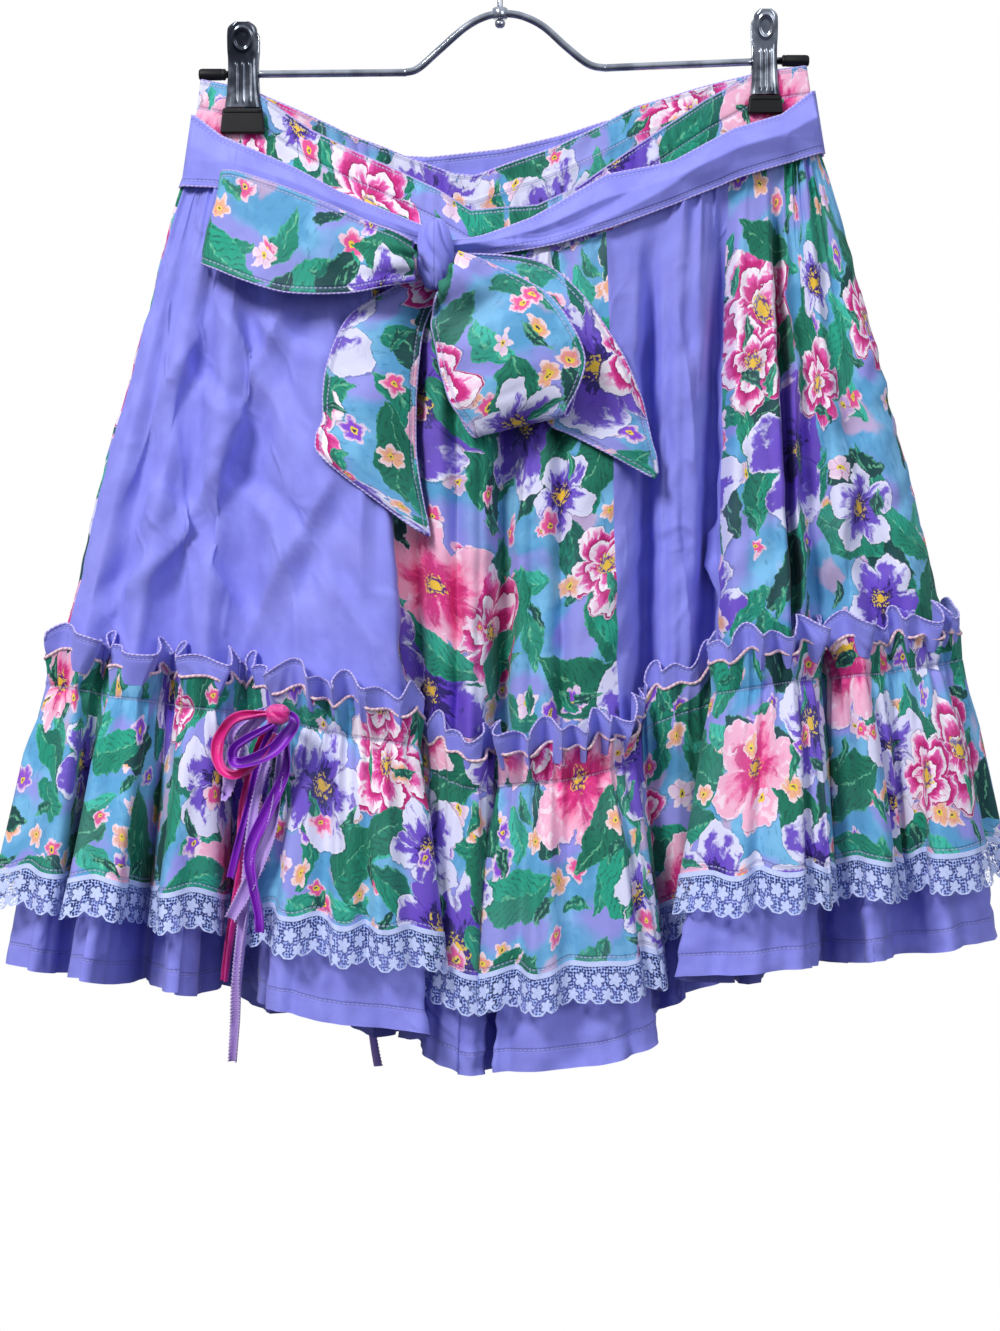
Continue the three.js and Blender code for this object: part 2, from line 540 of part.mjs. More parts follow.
const RUFFLE_CLEAR = CLOTH + SEAM_GAP + 0.4; // least distance between the skirt's middle and the ruffle's
const RUFFLE_ROWS = [
  { name: "band top", mm: PANEL_LENGTH - HEADING_PRINT - HEADING_BAND, stand: 7, wave: 3.4 },
  { name: "print top", mm: PANEL_LENGTH - HEADING_PRINT, stand: 3.5, wave: 2.8 },
  { name: "stitches", mm: PANEL_LENGTH, stand: 0.3, wave: 0.7 },
  { name: "middle", mm: PANEL_LENGTH + 38, stand: 5, wave: 2.4 },
  { name: "lower edge", mm: PANEL_LENGTH + RUFFLE_LENGTH, stand: 8, wave: 2.8 },
  { name: "lace edge", mm: PANEL_LENGTH + RUFFLE_LENGTH + LACE_DEPTH, stand: 8.6, wave: 3.2 },
];

// How far the ruffle's middle stands off the skirt's. Waves differ in height along the edge.
function ruffleOffset(row, place) {
  const uneven = 0.75 + 0.25 * Math.sin(place * 0.37) * Math.cos(place * 0.113);
  const wave = 0.5 + 0.5 * Math.cos((2 * Math.PI * place * RUFFLE_FINENESS) / WAVE_COLUMNS);
  const room = Math.max(0.05, track("room", place / SAMPLES));
  return RUFFLE_CLEAR + room * (row.stand + 2 * row.wave * uneven * wave);
}

// The ruffle's middle surface right round the skirt, at every ruffle row.
function makeRuffleGrid() {
  const places = Array.from({ length: COLUMNS * RUFFLE_FINENESS }, (_, i) => i / RUFFLE_FINENESS);
  const points = RUFFLE_ROWS.map((row) =>
    places.map((place) => {
      const { point, normal } = onLattice(row.mm, place);
      return point.addScaledVector(normal.setZ(0).normalize(), ruffleOffset(row, place));
    }),
  );
  const normals = points.map((row, r) => row.map((_, c) => gridNormal(points, r, c, true)));
  return { points, normals };
}
const RUFFLE = makeRuffleGrid();

// One strip of the ruffle, between named rows, taking every skip-th column. The lower of two
// strips starts a seam gap under the other.
function ruffleStrip(names, { from, to }, skip, thickness, startGap) {
  const rows = names.map((name) => RUFFLE_ROWS.findIndex((row) => row.name === name));
  const wrap = RUFFLE.points[0].length;
  const pick = (grid) =>
    rows.map((r) => {
      const line = [];
      for (let c = from * RUFFLE_FINENESS; c <= to * RUFFLE_FINENESS; c += skip) line.push(grid[r][c % wrap].clone());
      return line;
    });
  const points = pick(RUFFLE.points);
  const normals = pick(RUFFLE.normals);
  points[0].forEach((point, c) => {
    const down = points[1][c].clone().sub(point).setLength(startGap);
    point.add(down);
  });
  return wall(points, normals, thickness);
}

function makeRuffle() {
  for (const run of HALVES) {
    const band = ["band top", "print top"];
    addPiece(`heading_band_${run.half}`, ruffleStrip(band, run, RUFFLE_FINENESS, CLOTH, 0), "plain");
    const print = ["print top", "stitches", "middle", "lower edge"];
    addPiece(`ruffle_${run.half}`, ruffleStrip(print, run, 1, CLOTH, 2 * SEAM_GAP), "print");
    const lace = ["lower edge", "lace edge"];
    addPiece(`lace_${run.half}`, ruffleStrip(lace, run, RUFFLE_FINENESS, LACE_CLOTH, 4 * SEAM_GAP), "lace");
  }
}

// ---------------------------------------------------------------- waistband and sash

const BAND_ROWS = [0, 0.6, 1];
const PINCH_SHARE = 0.6; // the clips hold this share of the band flat

// The waistband's middle at a column place, at a share of the way from its top edge to its seam.
function bandPoint(place, share, facing) {
  const seam = fallPoint(place / SAMPLES, 0);
  const open = Math.max(0, (share - PINCH_SHARE) / (1 - PINCH_SHARE));
  const atSide = place % COLUMNS === 0 || place === RIGHT_SIDE * SAMPLES;
  const top = facing * (atSide ? SIDE_PINCH : topOpening(seam.x));
  const low = atSide ? facing * SIDE_PINCH : seam.y;
  const topZ = tableValue(waistTable(facing), seam.x, "top");
  const x = seam.x * lerp(TOP_NARROWING, 1, share);
  return new THREE.Vector3(x, lerp(top, low, open), lerp(topZ, seam.z, share));
}


function makeWaistband() {
  for (const { half, from, to, facing } of HALVES) {
    const grid = BAND_ROWS.map((share) =>
      Array.from({ length: to - from + 1 }, (_, i) => bandPoint(from + i, share, facing)),
    );
    grid[grid.length - 1].forEach((point) => (point.z += SEAM_GAP));
    const normals = grid.map((row, r) => row.map((_, c) => gridNormal(grid, r, c, false)));
    normals[grid.length - 1].forEach((normal) => normal.setZ(0).normalize());
    addPiece(`waistband_${half}`, wall(grid, normals, BAND_CLOTH), "print");
  }
}

// ---------------------------------------------------------------- what lies on the skirt

// Outermost distance from the middle plane at (x, z), or undefined off the cloth.
function surfaceOut(x, z, facing) {
  let out;
  for (const { a, b, c, area } of laid) {
    const v = ((x - a.x) * (c.z - a.z) - (c.x - a.x) * (z - a.z)) / area;
    const w = ((b.x - a.x) * (z - a.z) - (x - a.x) * (b.z - a.z)) / area;
    if (v < 0 || w < 0 || v + w > 1) continue;
    const here = facing * (a.y + v * (b.y - a.y) + w * (c.y - a.y));
    if (out === undefined || here > out) out = here;
  }
  return out;
}

const NEAR = [-4, 0, 4]; // mm either way that cloth laid on top must clear
function restOut(x, z, facing) {
  const found = NEAR.flatMap((dx) => NEAR.map((dz) => surfaceOut(x + dx, z + dz, facing)));
  return Math.max(...found.filter((out) => out !== undefined), -Infinity);
}

const FINER = 4; // places looked at between two kept points of a laid strip
const HANG_IN = 3; // most that a hanging tail swings in from one kept point to the next

// A strip of cloth laid on the skirt. lines: its edges and middle lines, each a list of {x, z, stand}.
// Every FINER-th place is kept, and clears all that lies under the strip as far as the next ones.
// A tail that hangs goes nearly straight down from where it last touches.
function laidStrip(name, lines, thickness, finish, facing = -1, hangs = false) {
  const grid = lines.map((line) => {
    const rests = line.map(({ x, z }) => restOut(x, z, facing));
    const kept = [];
    for (let i = 0; i < line.length; i += FINER) {
      const under = Math.max(...rests.slice(Math.max(0, i - FINER), i + FINER + 1));
      const above = kept.length > 0 ? kept.at(-1).out - (hangs ? HANG_IN : Infinity) : -Infinity;
      kept.push({ ...line[i], out: Math.max(under + line[i].stand, above) });
    }
    return kept.map(({ x, z, out }) => new THREE.Vector3(x, facing * out, z));
  });
  settle(grid, thickness, facing);
  const normals = grid.map((row, r) => row.map((_, c) => gridNormal(grid, r, c, false)));
  addPiece(name, wall(grid, normals, thickness), finish);
}

const SEAT_GAP = 0.45; // left where a laid piece first touches

// Moves a strip in until its nearest point rests on what lies under it.
function settle(grid, thickness, facing) {
  const [rows, width] = [grid.length, grid[0].length];
  let least = Infinity;
  for (let r = 0; r <= rows - 1; r += 0.25)
    for (let c = 0; c <= width - 1; c += 0.25) {
      const [r0, c0] = [Math.min(Math.floor(r), rows - 2), Math.min(Math.floor(c), width - 2)];
      const upper = grid[r0][c0].clone().lerp(grid[r0][c0 + 1], c - c0);
      const point = upper.lerp(grid[r0 + 1][c0].clone().lerp(grid[r0 + 1][c0 + 1], c - c0), r - r0);
      const lean = Math.max(0.35, Math.abs(gridNormal(grid, Math.round(r), Math.round(c), false).y));
      const under = surfaceOut(point.x, point.z, facing);
      if (under !== undefined) least = Math.min(least, facing * point.y - thickness / 2 / lean - under);
    }
  if (least > SEAT_GAP && least < Infinity)
    grid.forEach((row) => row.forEach((point) => (point.y -= facing * (least - SEAT_GAP))));
}

// ---------------------------------------------------------------- sash

// How far the sash's middle stands off the waistband's middle, and off the gathered panels below it.
const ON_BAND = (BAND_CLOTH + CLOTH) / 2 + SEAM_GAP + 0.2;
const ON_PANEL = CLOTH + SEAM_GAP + GATHER_DEPTH + 1.8;

function sashPoint(place, z, facing) {
  const atSide = place % COLUMNS === 0 || place === RIGHT_SIDE * SAMPLES;
  const seam = fallPoint(place / SAMPLES, 0);
  const topZ = tableValue(waistTable(facing), seam.x, "top");
  const share = (z - topZ) / (seam.z - topZ);
  const at = share <= 1 ? bandPoint(place, Math.max(share, 0), facing) : fallPoint(place / SAMPLES, (seam.z - z) / PANEL_LENGTH);
  const out = Math.max(facing * at.y, facing * seam.y * Math.min(1, share * 1.2)) + Math.max(ON_BAND, lerp(0, ON_PANEL, share));
  return new THREE.Vector3(at.x * 1.008 + Math.sign(at.x) * (atSide ? 1.2 : 0), facing * (atSide ? 2.6 : out), z);
}

function makeSash(name, table, { from, to, facing }, start, end) {
  const places = [];
  for (let place = from; place <= to; place++) {
    const x = track("waistX", place / SAMPLES);
    if (x >= start && x <= end) places.push(place);
  }
  const grid = [1, 0].map((rise) =>
    places.map((place) => {
      const x = track("waistX", place / SAMPLES);
      return sashPoint(place, lerp(tableValue(table, x, "low"), tableValue(table, x, "top"), rise), facing);
    }),
  );
  const normals = grid.map((row, r) => row.map((_, c) => gridNormal(grid, r, c, false)));
  addPiece(name, wall(grid, normals, CLOTH), "plain");
}

// ---------------------------------------------------------------- bow

const STRIP_SAMPLES = 2; // points for each table row of a strip

function smoothTable(rows, samples) {
  const keys = Object.keys(rows[0]);
  const count = (rows.length - 1) * samples;
  return Array.from({ length: count + 1 }, (_, i) =>
    Object.fromEntries(keys.map((key) => [key, smoothValue(rows.map((row) => row[key]), i / samples, false)])),
  );
}

function makeBowStrip(name, rows, finish) {
  const across = [0, 0.5, 1];
  const points = smoothTable(rows, STRIP_SAMPLES * FINER);
  const lines = across.map((share) =>
    points.map((row) => ({
      x: lerp(row.ax, row.bx, share),
      z: lerp(row.az, row.bz, share),
      stand: row.stand + row.curl * (share === 0.5 ? 1 : 0),
    })),
  );
  laidStrip(name, lines, CLOTH, finish);
}

// A knot: a rounded lump that rests on what it ties, or nestles a little between.
function knot(name, { x, z, width, height, depth, nestle = 0 }, finish) {
  const geometry = new THREE.SphereGeometry(0.5, 10, 6);
  geometry.scale(width, depth, height);
  geometry.translate(x, 0, z);
  const position = geometry.getAttribute("position");
  let out = -Infinity;
  for (let i = 0; i < position.count; i++)
    for (const [dx, dz] of [[0, 0], [2, 0], [-2, 0], [0, 3], [0, -3]]) {
      const under = surfaceOut(position.getX(i) + dx, position.getZ(i) + dz, -1);
      if (under !== undefined) out = Math.max(out, under + position.getY(i));
    }
  geometry.translate(0, -(out + SEAT_GAP - nestle), 0);
  addPiece(name, geometry, finish);
}

function makeBow() {
  makeBowStrip("bow_tail_left", BOW_TAIL_LEFT, "print");
  makeBowStrip("bow_tail_right", BOW_TAIL_RIGHT, "print");
  knot("bow_knot", { x: -39, z: -208, width: 20, height: 42, depth: 17 }, "plain");
  makeBowStrip("bow_loop_right", BOW_LOOP_RIGHT, "print");
  makeBowStrip("bow_loop_left", BOW_LOOP_LEFT, "print");
}

// ---------------------------------------------------------------- ribbons

function makeRibbon(name, path, finish, facing = -1) {
  const points = smoothTable(path, STRIP_SAMPLES * FINER);
  const edge = (side) =>
    points.map((point, i) => {
      const before = points[Math.max(i - 1, 0)];
      const after = points[Math.min(i + 1, points.length - 1)];
      const along = new THREE.Vector2(after.x - before.x, after.z - before.z).normalize();
      return {
        x: point.x + (side * along.y * RIBBON_WIDTH) / 2,
        z: point.z - (side * along.x * RIBBON_WIDTH) / 2,
        stand: point.stand,
      };
    });
  laidStrip(name, [edge(1), edge(-1)], RIBBON_CLOTH, finish, facing, name.includes("tail") || facing > 0);
}

// ---------------------------------------------------------------- hanger

// A closed round bar along a path.
function bar(path, radius, sides) {
  const outer = [];
  const up = new THREE.Vector3(0, 1, 0);
  path.forEach((point, i) => {
    const along = path[Math.min(i + 1, path.length - 1)].clone().sub(path[Math.max(i - 1, 0)]).normalize();
    const side = up.clone().cross(along).normalize();
    const lift = along.clone().cross(side);
    for (let k = 0; k < sides; k++) {
      const angle = (2 * Math.PI * k) / sides;
      const r = Array.isArray(radius) ? radius[i] : radius;
      outer.push(point.clone().addScaledVector(side, r * Math.cos(angle)).addScaledVector(lift, r * Math.sin(angle)));
    }
  });
  outer.push(path[0].clone(), path.at(-1).clone());
  const [first, last] = [outer.length - 2, outer.length - 1];
  const index = [];
  for (let i = 0; i + 1 < path.length; i++)
    for (let k = 0; k < sides; k++) {
      const next = (k + 1) % sides;
      const [a, b, c, d] = [i * sides + k, i * sides + next, (i + 1) * sides + next, (i + 1) * sides + k];
      index.push(a, b, c, a, c, d);
    }
  const end = (path.length - 1) * sides;
  for (let k = 0; k < sides; k++) {
    const next = (k + 1) % sides;
    index.push(first, next, k, last, end + k, end + next);
  }
  const geometry = new THREE.BufferGeometry();
  geometry.setAttribute("position", new THREE.Float32BufferAttribute(outer.flatMap((p) => [p.x, p.y, p.z]), 3));
  geometry.setIndex(index);
  geometry.computeVertexNormals();
  return geometry;
}

const { Manifold, Mesh } = wasm;
function toManifold(geometry) {
  const vertProperties = Float32Array.from(geometry.getAttribute("position").array);
  return new Manifold(new Mesh({ numProp: 3, vertProperties, triVerts: Uint32Array.from(geometry.getIndex().array) }));
}
function fromManifold(solid) {
  const { vertProperties, triVerts } = solid.getMesh();
  const geometry = new THREE.BufferGeometry();
  geometry.setAttribute("position", new THREE.Float32BufferAttribute(vertProperties, 3));
  geometry.setIndex(Array.from(triVerts));
  geometry.computeVertexNormals();
  return geometry;
}

const COLLAR_R = 4.4;
const COLLAR_HALF = 3.2;
const vertical = (x, low, high, radius, sides) =>
  bar([new THREE.Vector3(x, 0, low), new THREE.Vector3(x, 0, high)], radius, sides);

function makeHanger() {
  const wirePath = HANGER_WIRE.map(({ x, z }) => new THREE.Vector3(x, 0, z));
  const collar = toManifold(vertical(HOOK_SHANK_X, -62 - COLLAR_HALF, -62 + COLLAR_HALF, COLLAR_R, 16));
  const hole = toManifold(vertical(HOOK_SHANK_X, -70, -54, HOOK_R + SEAM_GAP, 12));
  const wire = toManifold(bar(wirePath, WIRE_R, 8)).add(collar).subtract(hole);
  addPiece("hanger_wire", fromManifold(wire), "chrome");

  // Ball end under the collar, shank, then the bend over the rail and a short open tip.
  const centre = -HOOK_BEND_R;
  const bend = HOOK_BEND_R + HOOK_R;
  const hook = [
    { x: HOOK_SHANK_X, z: -70.5, r: 1.2 }, { x: HOOK_SHANK_X, z: -69.5, r: 2.6 },
    { x: HOOK_SHANK_X, z: -67, r: 3.1 }, { x: HOOK_SHANK_X, z: -65.6, r: HOOK_R },
    { x: HOOK_SHANK_X, z: -54, r: HOOK_R }, { x: 2, z: -45, r: HOOK_R }, { x: 12, z: -38, r: HOOK_R },
  ];
  for (let angle = -25; angle <= 195; angle += 20) {
    const a = THREE.MathUtils.degToRad(angle);
    hook.push({ x: bend * Math.cos(a), z: centre + bend * Math.sin(a), r: HOOK_R });
  }
  hook.push({ x: -24, z: centre - 12, r: HOOK_R }, { x: -24.6, z: centre - 13.5, r: 1 });
  const path = hook.map(({ x, z }) => new THREE.Vector3(x, 0, z));
  addPiece("hanger_hook", bar(path, hook.map(({ r }) => r), 8), "chrome");

  for (const [side, end] of [["left", HANGER_WIRE[0]], ["right", HANGER_WIRE.at(-1)]]) {
    const out = Math.sign(end.x);
    const capPath = [0.3, 1.3, 15, 16].map((reach) => new THREE.Vector3(end.x + out * reach, 0, end.z));
    addPiece(`end_cap_${side}`, bar(out > 0 ? capPath : capPath.reverse(), out > 0 ? [3, 3.4, 3.4, 2.6] : [2.6, 3.4, 3.4, 3], 10), "rubber");
  }
  CLIPS.forEach(makeClip);
}

// Half of a spring clip, from its finger end down: half width, and distance of its middle from the bar's plane.
const CLIP_PLATE = [
  { drop: -28, half: 6, out: 10.5 },
  { drop: -24, half: 8.2, out: 10 },
  { drop: -14, half: 8.6, out: 7.6 },
  { drop: -8, half: 8.3, out: 6.2 },
  { drop: 0, half: 8.4, out: 5.2 },
  { drop: 12, half: 9.2, out: 4.7 },
  { drop: 20, half: 10.4, out: 4.6 },
];
const PLATE_THICK = 1.2;
const JAW = { top: 20.8, halfTop: 11.5, halfLow: 13, inner: 2.85, outer: 7.2 };
const SPRING_R = 3.8;

function makeClip({ side, x, width, low }) {
  const wireZ = tableValue(HANGER_WIRE, x, "z");
  for (const [where, facing] of [["front", -1], ["back", 1]]) {
    const grid = CLIP_PLATE.map(({ drop, half, out }) =>
      [-1, -0.6, 0.6, 1].map((across) => {
        const bow = Math.abs(across) === 1 ? -0.9 : 0;
        return new THREE.Vector3(x - facing * across * half * width, facing * (out + bow), wireZ - drop);
      }),
    );
    const normals = grid.map((row, r) => row.map((_, c) => gridNormal(grid, r, c, false)));
    addPiece(`clip_${side}_plate_${where}`, wall(grid, normals, PLATE_THICK, false), "chrome");

    const outer = [JAW.top, JAW.top + 3, low - 2, low].map((drop, r) => {
      const half = lerp(JAW.halfTop, JAW.halfLow, r / 3);
      const depth = r === 0 || r === 3 ? JAW.outer - 1.2 : JAW.outer;
      return [-1, 1].map((across) => new THREE.Vector3(x - facing * across * half * width, facing * depth, wireZ - drop));
    });
    const inner = outer.map((row) => row.map((point) => point.clone().setY(facing * JAW.inner)));
    addPiece(`clip_${side}_jaw_${where}`, solidBetween(outer, inner), "rubber");
  }
  // The spring is wound round the bar between the plates.
  const outerRing = vertical(0, -7.6, 7.6, SPRING_R, 14);
  const bore = vertical(0, -9, 9, WIRE_R + SEAM_GAP, 12);
  const tilt = new THREE.Matrix4().makeRotationY(Math.PI / 2 - wireSlope(x));
  for (const geometry of [outerRing, bore]) geometry.applyMatrix4(tilt).translate(x, 0, wireZ);
  addPiece(`clip_${side}_spring`, fromManifold(toManifold(outerRing).subtract(toManifold(bore))), "chrome");
}

// Angle of the hanger's wire above level at x.
function wireSlope(x) {
  return Math.atan((tableValue(HANGER_WIRE, x + 1, "z") - tableValue(HANGER_WIRE, x - 1, "z")) / 2);
}

makePanels();
makeTier();
makeRuffle();
makeWaistband();
makeHanger();
const [FRONT, BACK] = HALVES;
makeSash("sash_left", SASH_LEFT, FRONT, -184, -44);
makeSash("sash_right", SASH_RIGHT, FRONT, -32, 184);
makeSash("sash_back", SASH_BACK, BACK, -184, 184);
makeBow();
for (const { name, color, path } of RIBBONS) makeRibbon(name, path, color);
makeRibbon("ribbon_pale_behind", RIBBON_BEHIND, "pale", 1);
knot("ribbon_knot", { x: -125, z: -467, width: 13, height: 12, depth: 7, nestle: 1.5 }, "magenta");

export default skirt;
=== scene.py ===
"""The looks of the ruffled mini skirt on its clip hanger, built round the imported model.

Lengths are in millimetres until a mesh is made, in the model's frame: the hook's inside top is the
origin, Z is up and the skirt's front faces -Y.
"""

import math

import bmesh
import bpy
import numpy as np
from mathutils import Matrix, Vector
from mathutils.bvhtree import BVHTree


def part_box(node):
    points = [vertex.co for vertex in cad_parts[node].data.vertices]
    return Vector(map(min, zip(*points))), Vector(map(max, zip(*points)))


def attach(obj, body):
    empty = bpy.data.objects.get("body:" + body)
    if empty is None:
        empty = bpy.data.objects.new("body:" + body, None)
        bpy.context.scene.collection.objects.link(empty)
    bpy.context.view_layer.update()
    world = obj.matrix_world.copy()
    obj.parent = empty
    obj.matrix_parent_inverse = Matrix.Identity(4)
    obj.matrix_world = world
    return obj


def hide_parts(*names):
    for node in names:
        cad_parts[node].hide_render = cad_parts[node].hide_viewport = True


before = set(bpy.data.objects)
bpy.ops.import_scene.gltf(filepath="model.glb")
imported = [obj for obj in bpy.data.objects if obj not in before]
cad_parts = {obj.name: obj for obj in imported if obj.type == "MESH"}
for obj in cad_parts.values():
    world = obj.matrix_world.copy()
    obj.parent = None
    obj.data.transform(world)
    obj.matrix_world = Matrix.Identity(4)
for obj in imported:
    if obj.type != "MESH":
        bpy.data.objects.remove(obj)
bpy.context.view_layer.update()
MM = 0.001

# ---------------------------------------------------------------- sizes shared with the solids

PANEL_LENGTH = 303
TIER_LENGTH = 162
HEM = 12  # from the tier's foot up to its stitches
WAIST_HALF = 183
WAIST_OPEN = 28  # half the room inside the waist seam
TOP_OPEN = 20  # half the room inside the waistband's top edge, in its middle
PINCH = 1.9  # half the room that the clips leave
SIDE_PINCH = 1.1
PINCH_TO = 133  # x from which the clips press the waistband shut
PINCH_SHARE = 0.6  # share of the waistband's height that they press
TOP_NARROWING = 0.956  # the top edge's width for each mm of the seam's
CLOTH = 1.2  # the solids' wall

# x, height of the waistband's top edge, height of its seam
FRONT_WAIST = np.array([
    (-183, -101, -158), (-152, -107, -162), (-116, -131, -173), (-87, -146, -184), (-40, -168, -201),
    (-20, -180, -207), (20, -177, -206), (45, -166, -199), (87, -137, -179), (122, -113, -156),
    (152, -97, -147), (183, -93, -144)], float)
BACK_WAIST = np.array([
    (-183, -101, -158), (-152, -107, -161), (-100, -128, -178), (-31, -151, -199), (-18, -152, -200),
    (35, -134, -190), (81, -113, -171), (152, -97, -148), (183, -93, -144)], float)

# One row for each fold's crest or valley, round the skirt from its left side: x at the waist, x and distance
# out at the ruffle's stitches, the same at the hem, and the ruffle's room, 0.05 in a tight valley.
FRONT_FOLDS = [
    (-183, -262, 0, -292, 0, 0.4),  # left side
    (-178, -248, 20, -272, 36, 0.9),  # A
    (-173, -231, 17, -252, 20, 0.05),
    (-166, -214, 28, -236, 62, 0.8),  # B
    (-158, -193, 18, -209, 14, 0.05),
    (-150, -172, 31, -186, 60, 0.8),  # C
    (-142, -149, 20, -160, 9, 0.05),
    (-128, -122, 35, -134, 52, 1),  # D
    (-106, -92, 41, -95, 64, 1),
    (-86, -59, 42, -55, 60, 0.55),
    (-70, -49, 22, -46, 27, 0.05),
    (-46, -34, 28, -33, 38, 0.12),  # E
    (-10, -18, 38, -21, 46, 0.5),
    (8, -6, 20, -8, 18, 0.05),
    (22, 12, 33, 10, 46, 0.9),  # F
    (38, 40, 38, 47, 56, 1),
    (58, 64, 32, 78, 42, 0.8),
    (88, 78, 15, 90, 14, 0.05),
    (106, 97, 24, 104, 23, 0.05),  # J
    (120, 116, 17, 129, 22, 0.05),
    (129, 124, 36, 109, 50, 0.3),  # G
    (142, 147, 44, 140, 68, 1),
    (156, 170, 40, 171, 58, 0.9),
    (163, 182, 18, 186, 15, 0.05),
    (169, 200, 34, 207, 50, 0.9),  # H
    (174, 220, 24, 231, 22, 0.3),
    (179, 241, 24, 258, 38, 1),
    (183, 262, 0, 291, 0, 0.4),  # right side
]
BACK_FOLDS = [
    (178, 248, 20, 272, 36, 0.9), (168, 228, 14, 252, 14, 0.05), (154, 205, 33, 226, 60, 0.9),
    (140, 181, 18, 199, 13, 0.05), (126, 158, 37, 172, 57, 0.9), (110, 134, 20, 145, 14, 0.05),
    (94, 109, 41, 116, 66, 1), (76, 84, 22, 90, 18, 0.05), (58, 60, 42, 62, 63, 0.9),
    (38, 36, 24, 36, 16, 0.05), (18, 11, 42, 8, 61, 1), (-4, -14, 24, -19, 14, 0.05),
    (-26, -40, 40, -46, 66, 0.9), (-50, -66, 22, -76, 20, 0.05), (-72, -94, 40, -106, 62, 1),
    (-94, -122, 20, -136, 14, 0.05), (-114, -150, 36, -166, 60, 0.9), (-134, -179, 18, -197, 12, 0.05),
    (-154, -208, 32, -228, 56, 0.9), (-170, -236, 15, -260, 15, 0.05),
]
DEEPER = 10  # how much further the cloth sinks in the tight valleys than its solid's wall
DEEPER_AT_HEM = {4: 22, 6: 36, 10: 18, 17: 24, 19: 18}  # the same at the hem, for the widest gaps
OPEN_VALLEYS = (6,)  # fold rows whose gap stays wide; the others' sides stand close together
# The front's ruffle laps over itself at these fold rows: how far the hem and the stitches move along x.
LAPS = {
    5: (5, 0), 6: (5, 0), 9: (14, 5), 10: (-10, -4), 11: (-9, -3), 13: (7, 4), 14: (-15, -8), 16: (6, 3),
    19: (0, 8), 20: (-16, -2), 21: (-4, 0)}
RIGHT_SIDE = len(FRONT_FOLDS) - 1
TURN = len(FRONT_FOLDS) + len(BACK_FOLDS)

GORES = [  # node, from fold, to fold, cloth
    ("panel_front_left_plain", 1 / 3, 9 + 1 / 3, "plain"),
    ("panel_front_print", 9 + 1 / 3, 16, "print"),
    ("panel_front_right_plain", 16, 20, "plain"),
    ("panel_right_print", 20, 29, "print"),
    ("panel_back_right_plain", 29, 34, "plain"),
    ("panel_back_print", 34, 41, "print"),
    ("panel_back_left_plain", 41, 45, "plain"),
    ("panel_left_print", 45, 48 + 1 / 3, "print"),
]
HALVES = [("front", 0, RIGHT_SIDE, -1), ("back", RIGHT_SIDE, TURN, 1)]

# ---------------------------------------------------------------- numbers along curves

TIGHT_ROOM = 0.06  # less room than this marks a tight valley

_folds = np.array(FRONT_FOLDS + BACK_FOLDS, float)
_valley = _folds[:, 5] < TIGHT_ROOM
_folds[_valley, 2] -= 0.7 * DEEPER
_folds[_valley, 4] -= [DEEPER_AT_HEM.get(_row, DEEPER) for _row in np.flatnonzero(_valley)]
for _row, (_at_hem, _at_stitches) in LAPS.items():
    _folds[_row, 3] += _at_hem
    _folds[_row, 1] += _at_stitches
_facing = np.array([-1.0] * len(FRONT_FOLDS) + [1.0] * len(BACK_FOLDS))


def waist_height(x, facing, column):
    """Height of the waistband's top (column 1) or seam (column 2) at x."""
    front = np.interp(x, FRONT_WAIST[:, 0], FRONT_WAIST[:, column])
    back = np.interp(x, BACK_WAIST[:, 0], BACK_WAIST[:, column])
    return np.where(np.asarray(facing) < 0, front, back)


def seam_opening(x):
    return WAIST_OPEN * np.maximum(0, 1 - (x / (WAIST_HALF + 0.5)) ** 2) ** 0.6


TRACKS = {
    "waist_x": _folds[:, 0],
    "waist_y": _facing * seam_opening(_folds[:, 0]),
    "waist_z": waist_height(_folds[:, 0], _facing, 2),
    "seam_x": _folds[:, 1],
    "seam_y": _facing * _folds[:, 2],
    "hem_x": _folds[:, 3],
    "hem_y": _facing * _folds[:, 4],
    "room": _folds[:, 5],
}


def smooth(values, place, closed):
    """A smooth curve through values, at a place counted in values."""
    n = len(values)
    i = np.floor(place).astype(int)
    t = place - i
    pick = (lambda k: values[np.mod(k, n)]) if closed else (lambda k: values[np.clip(k, 0, n - 1)])
    a, b, c, d = pick(i - 1), pick(i), pick(i + 1), pick(i + 2)
    return b + 0.5 * t * (c - a + t * (2 * a - 5 * b + 4 * c - d + t * (3 * (b - c) + d - a)))


def track(key, place):
    """One of the TRACKS at a fold place, all round the skirt."""
    return smooth(TRACKS[key], place, True)


def beside_valleys(place):
    """The same place, drawn away from the tight valleys, so that the folds are broad and their gaps slim."""
    row = np.floor(place).astype(int)
    t = place - row
    tight = np.isin(np.arange(TURN), np.setdiff1d(np.flatnonzero(_valley), OPEN_VALLEYS))
    here, ahead = tight[np.mod(row, TURN)], tight[np.mod(row + 1, TURN)]
    return row + np.where(here, t**SLIMMING, np.where(ahead, 1 - (1 - t) ** SLIMMING, t))


SLIMMING = 0.55  # 1 leaves the gaps as wide as the folds


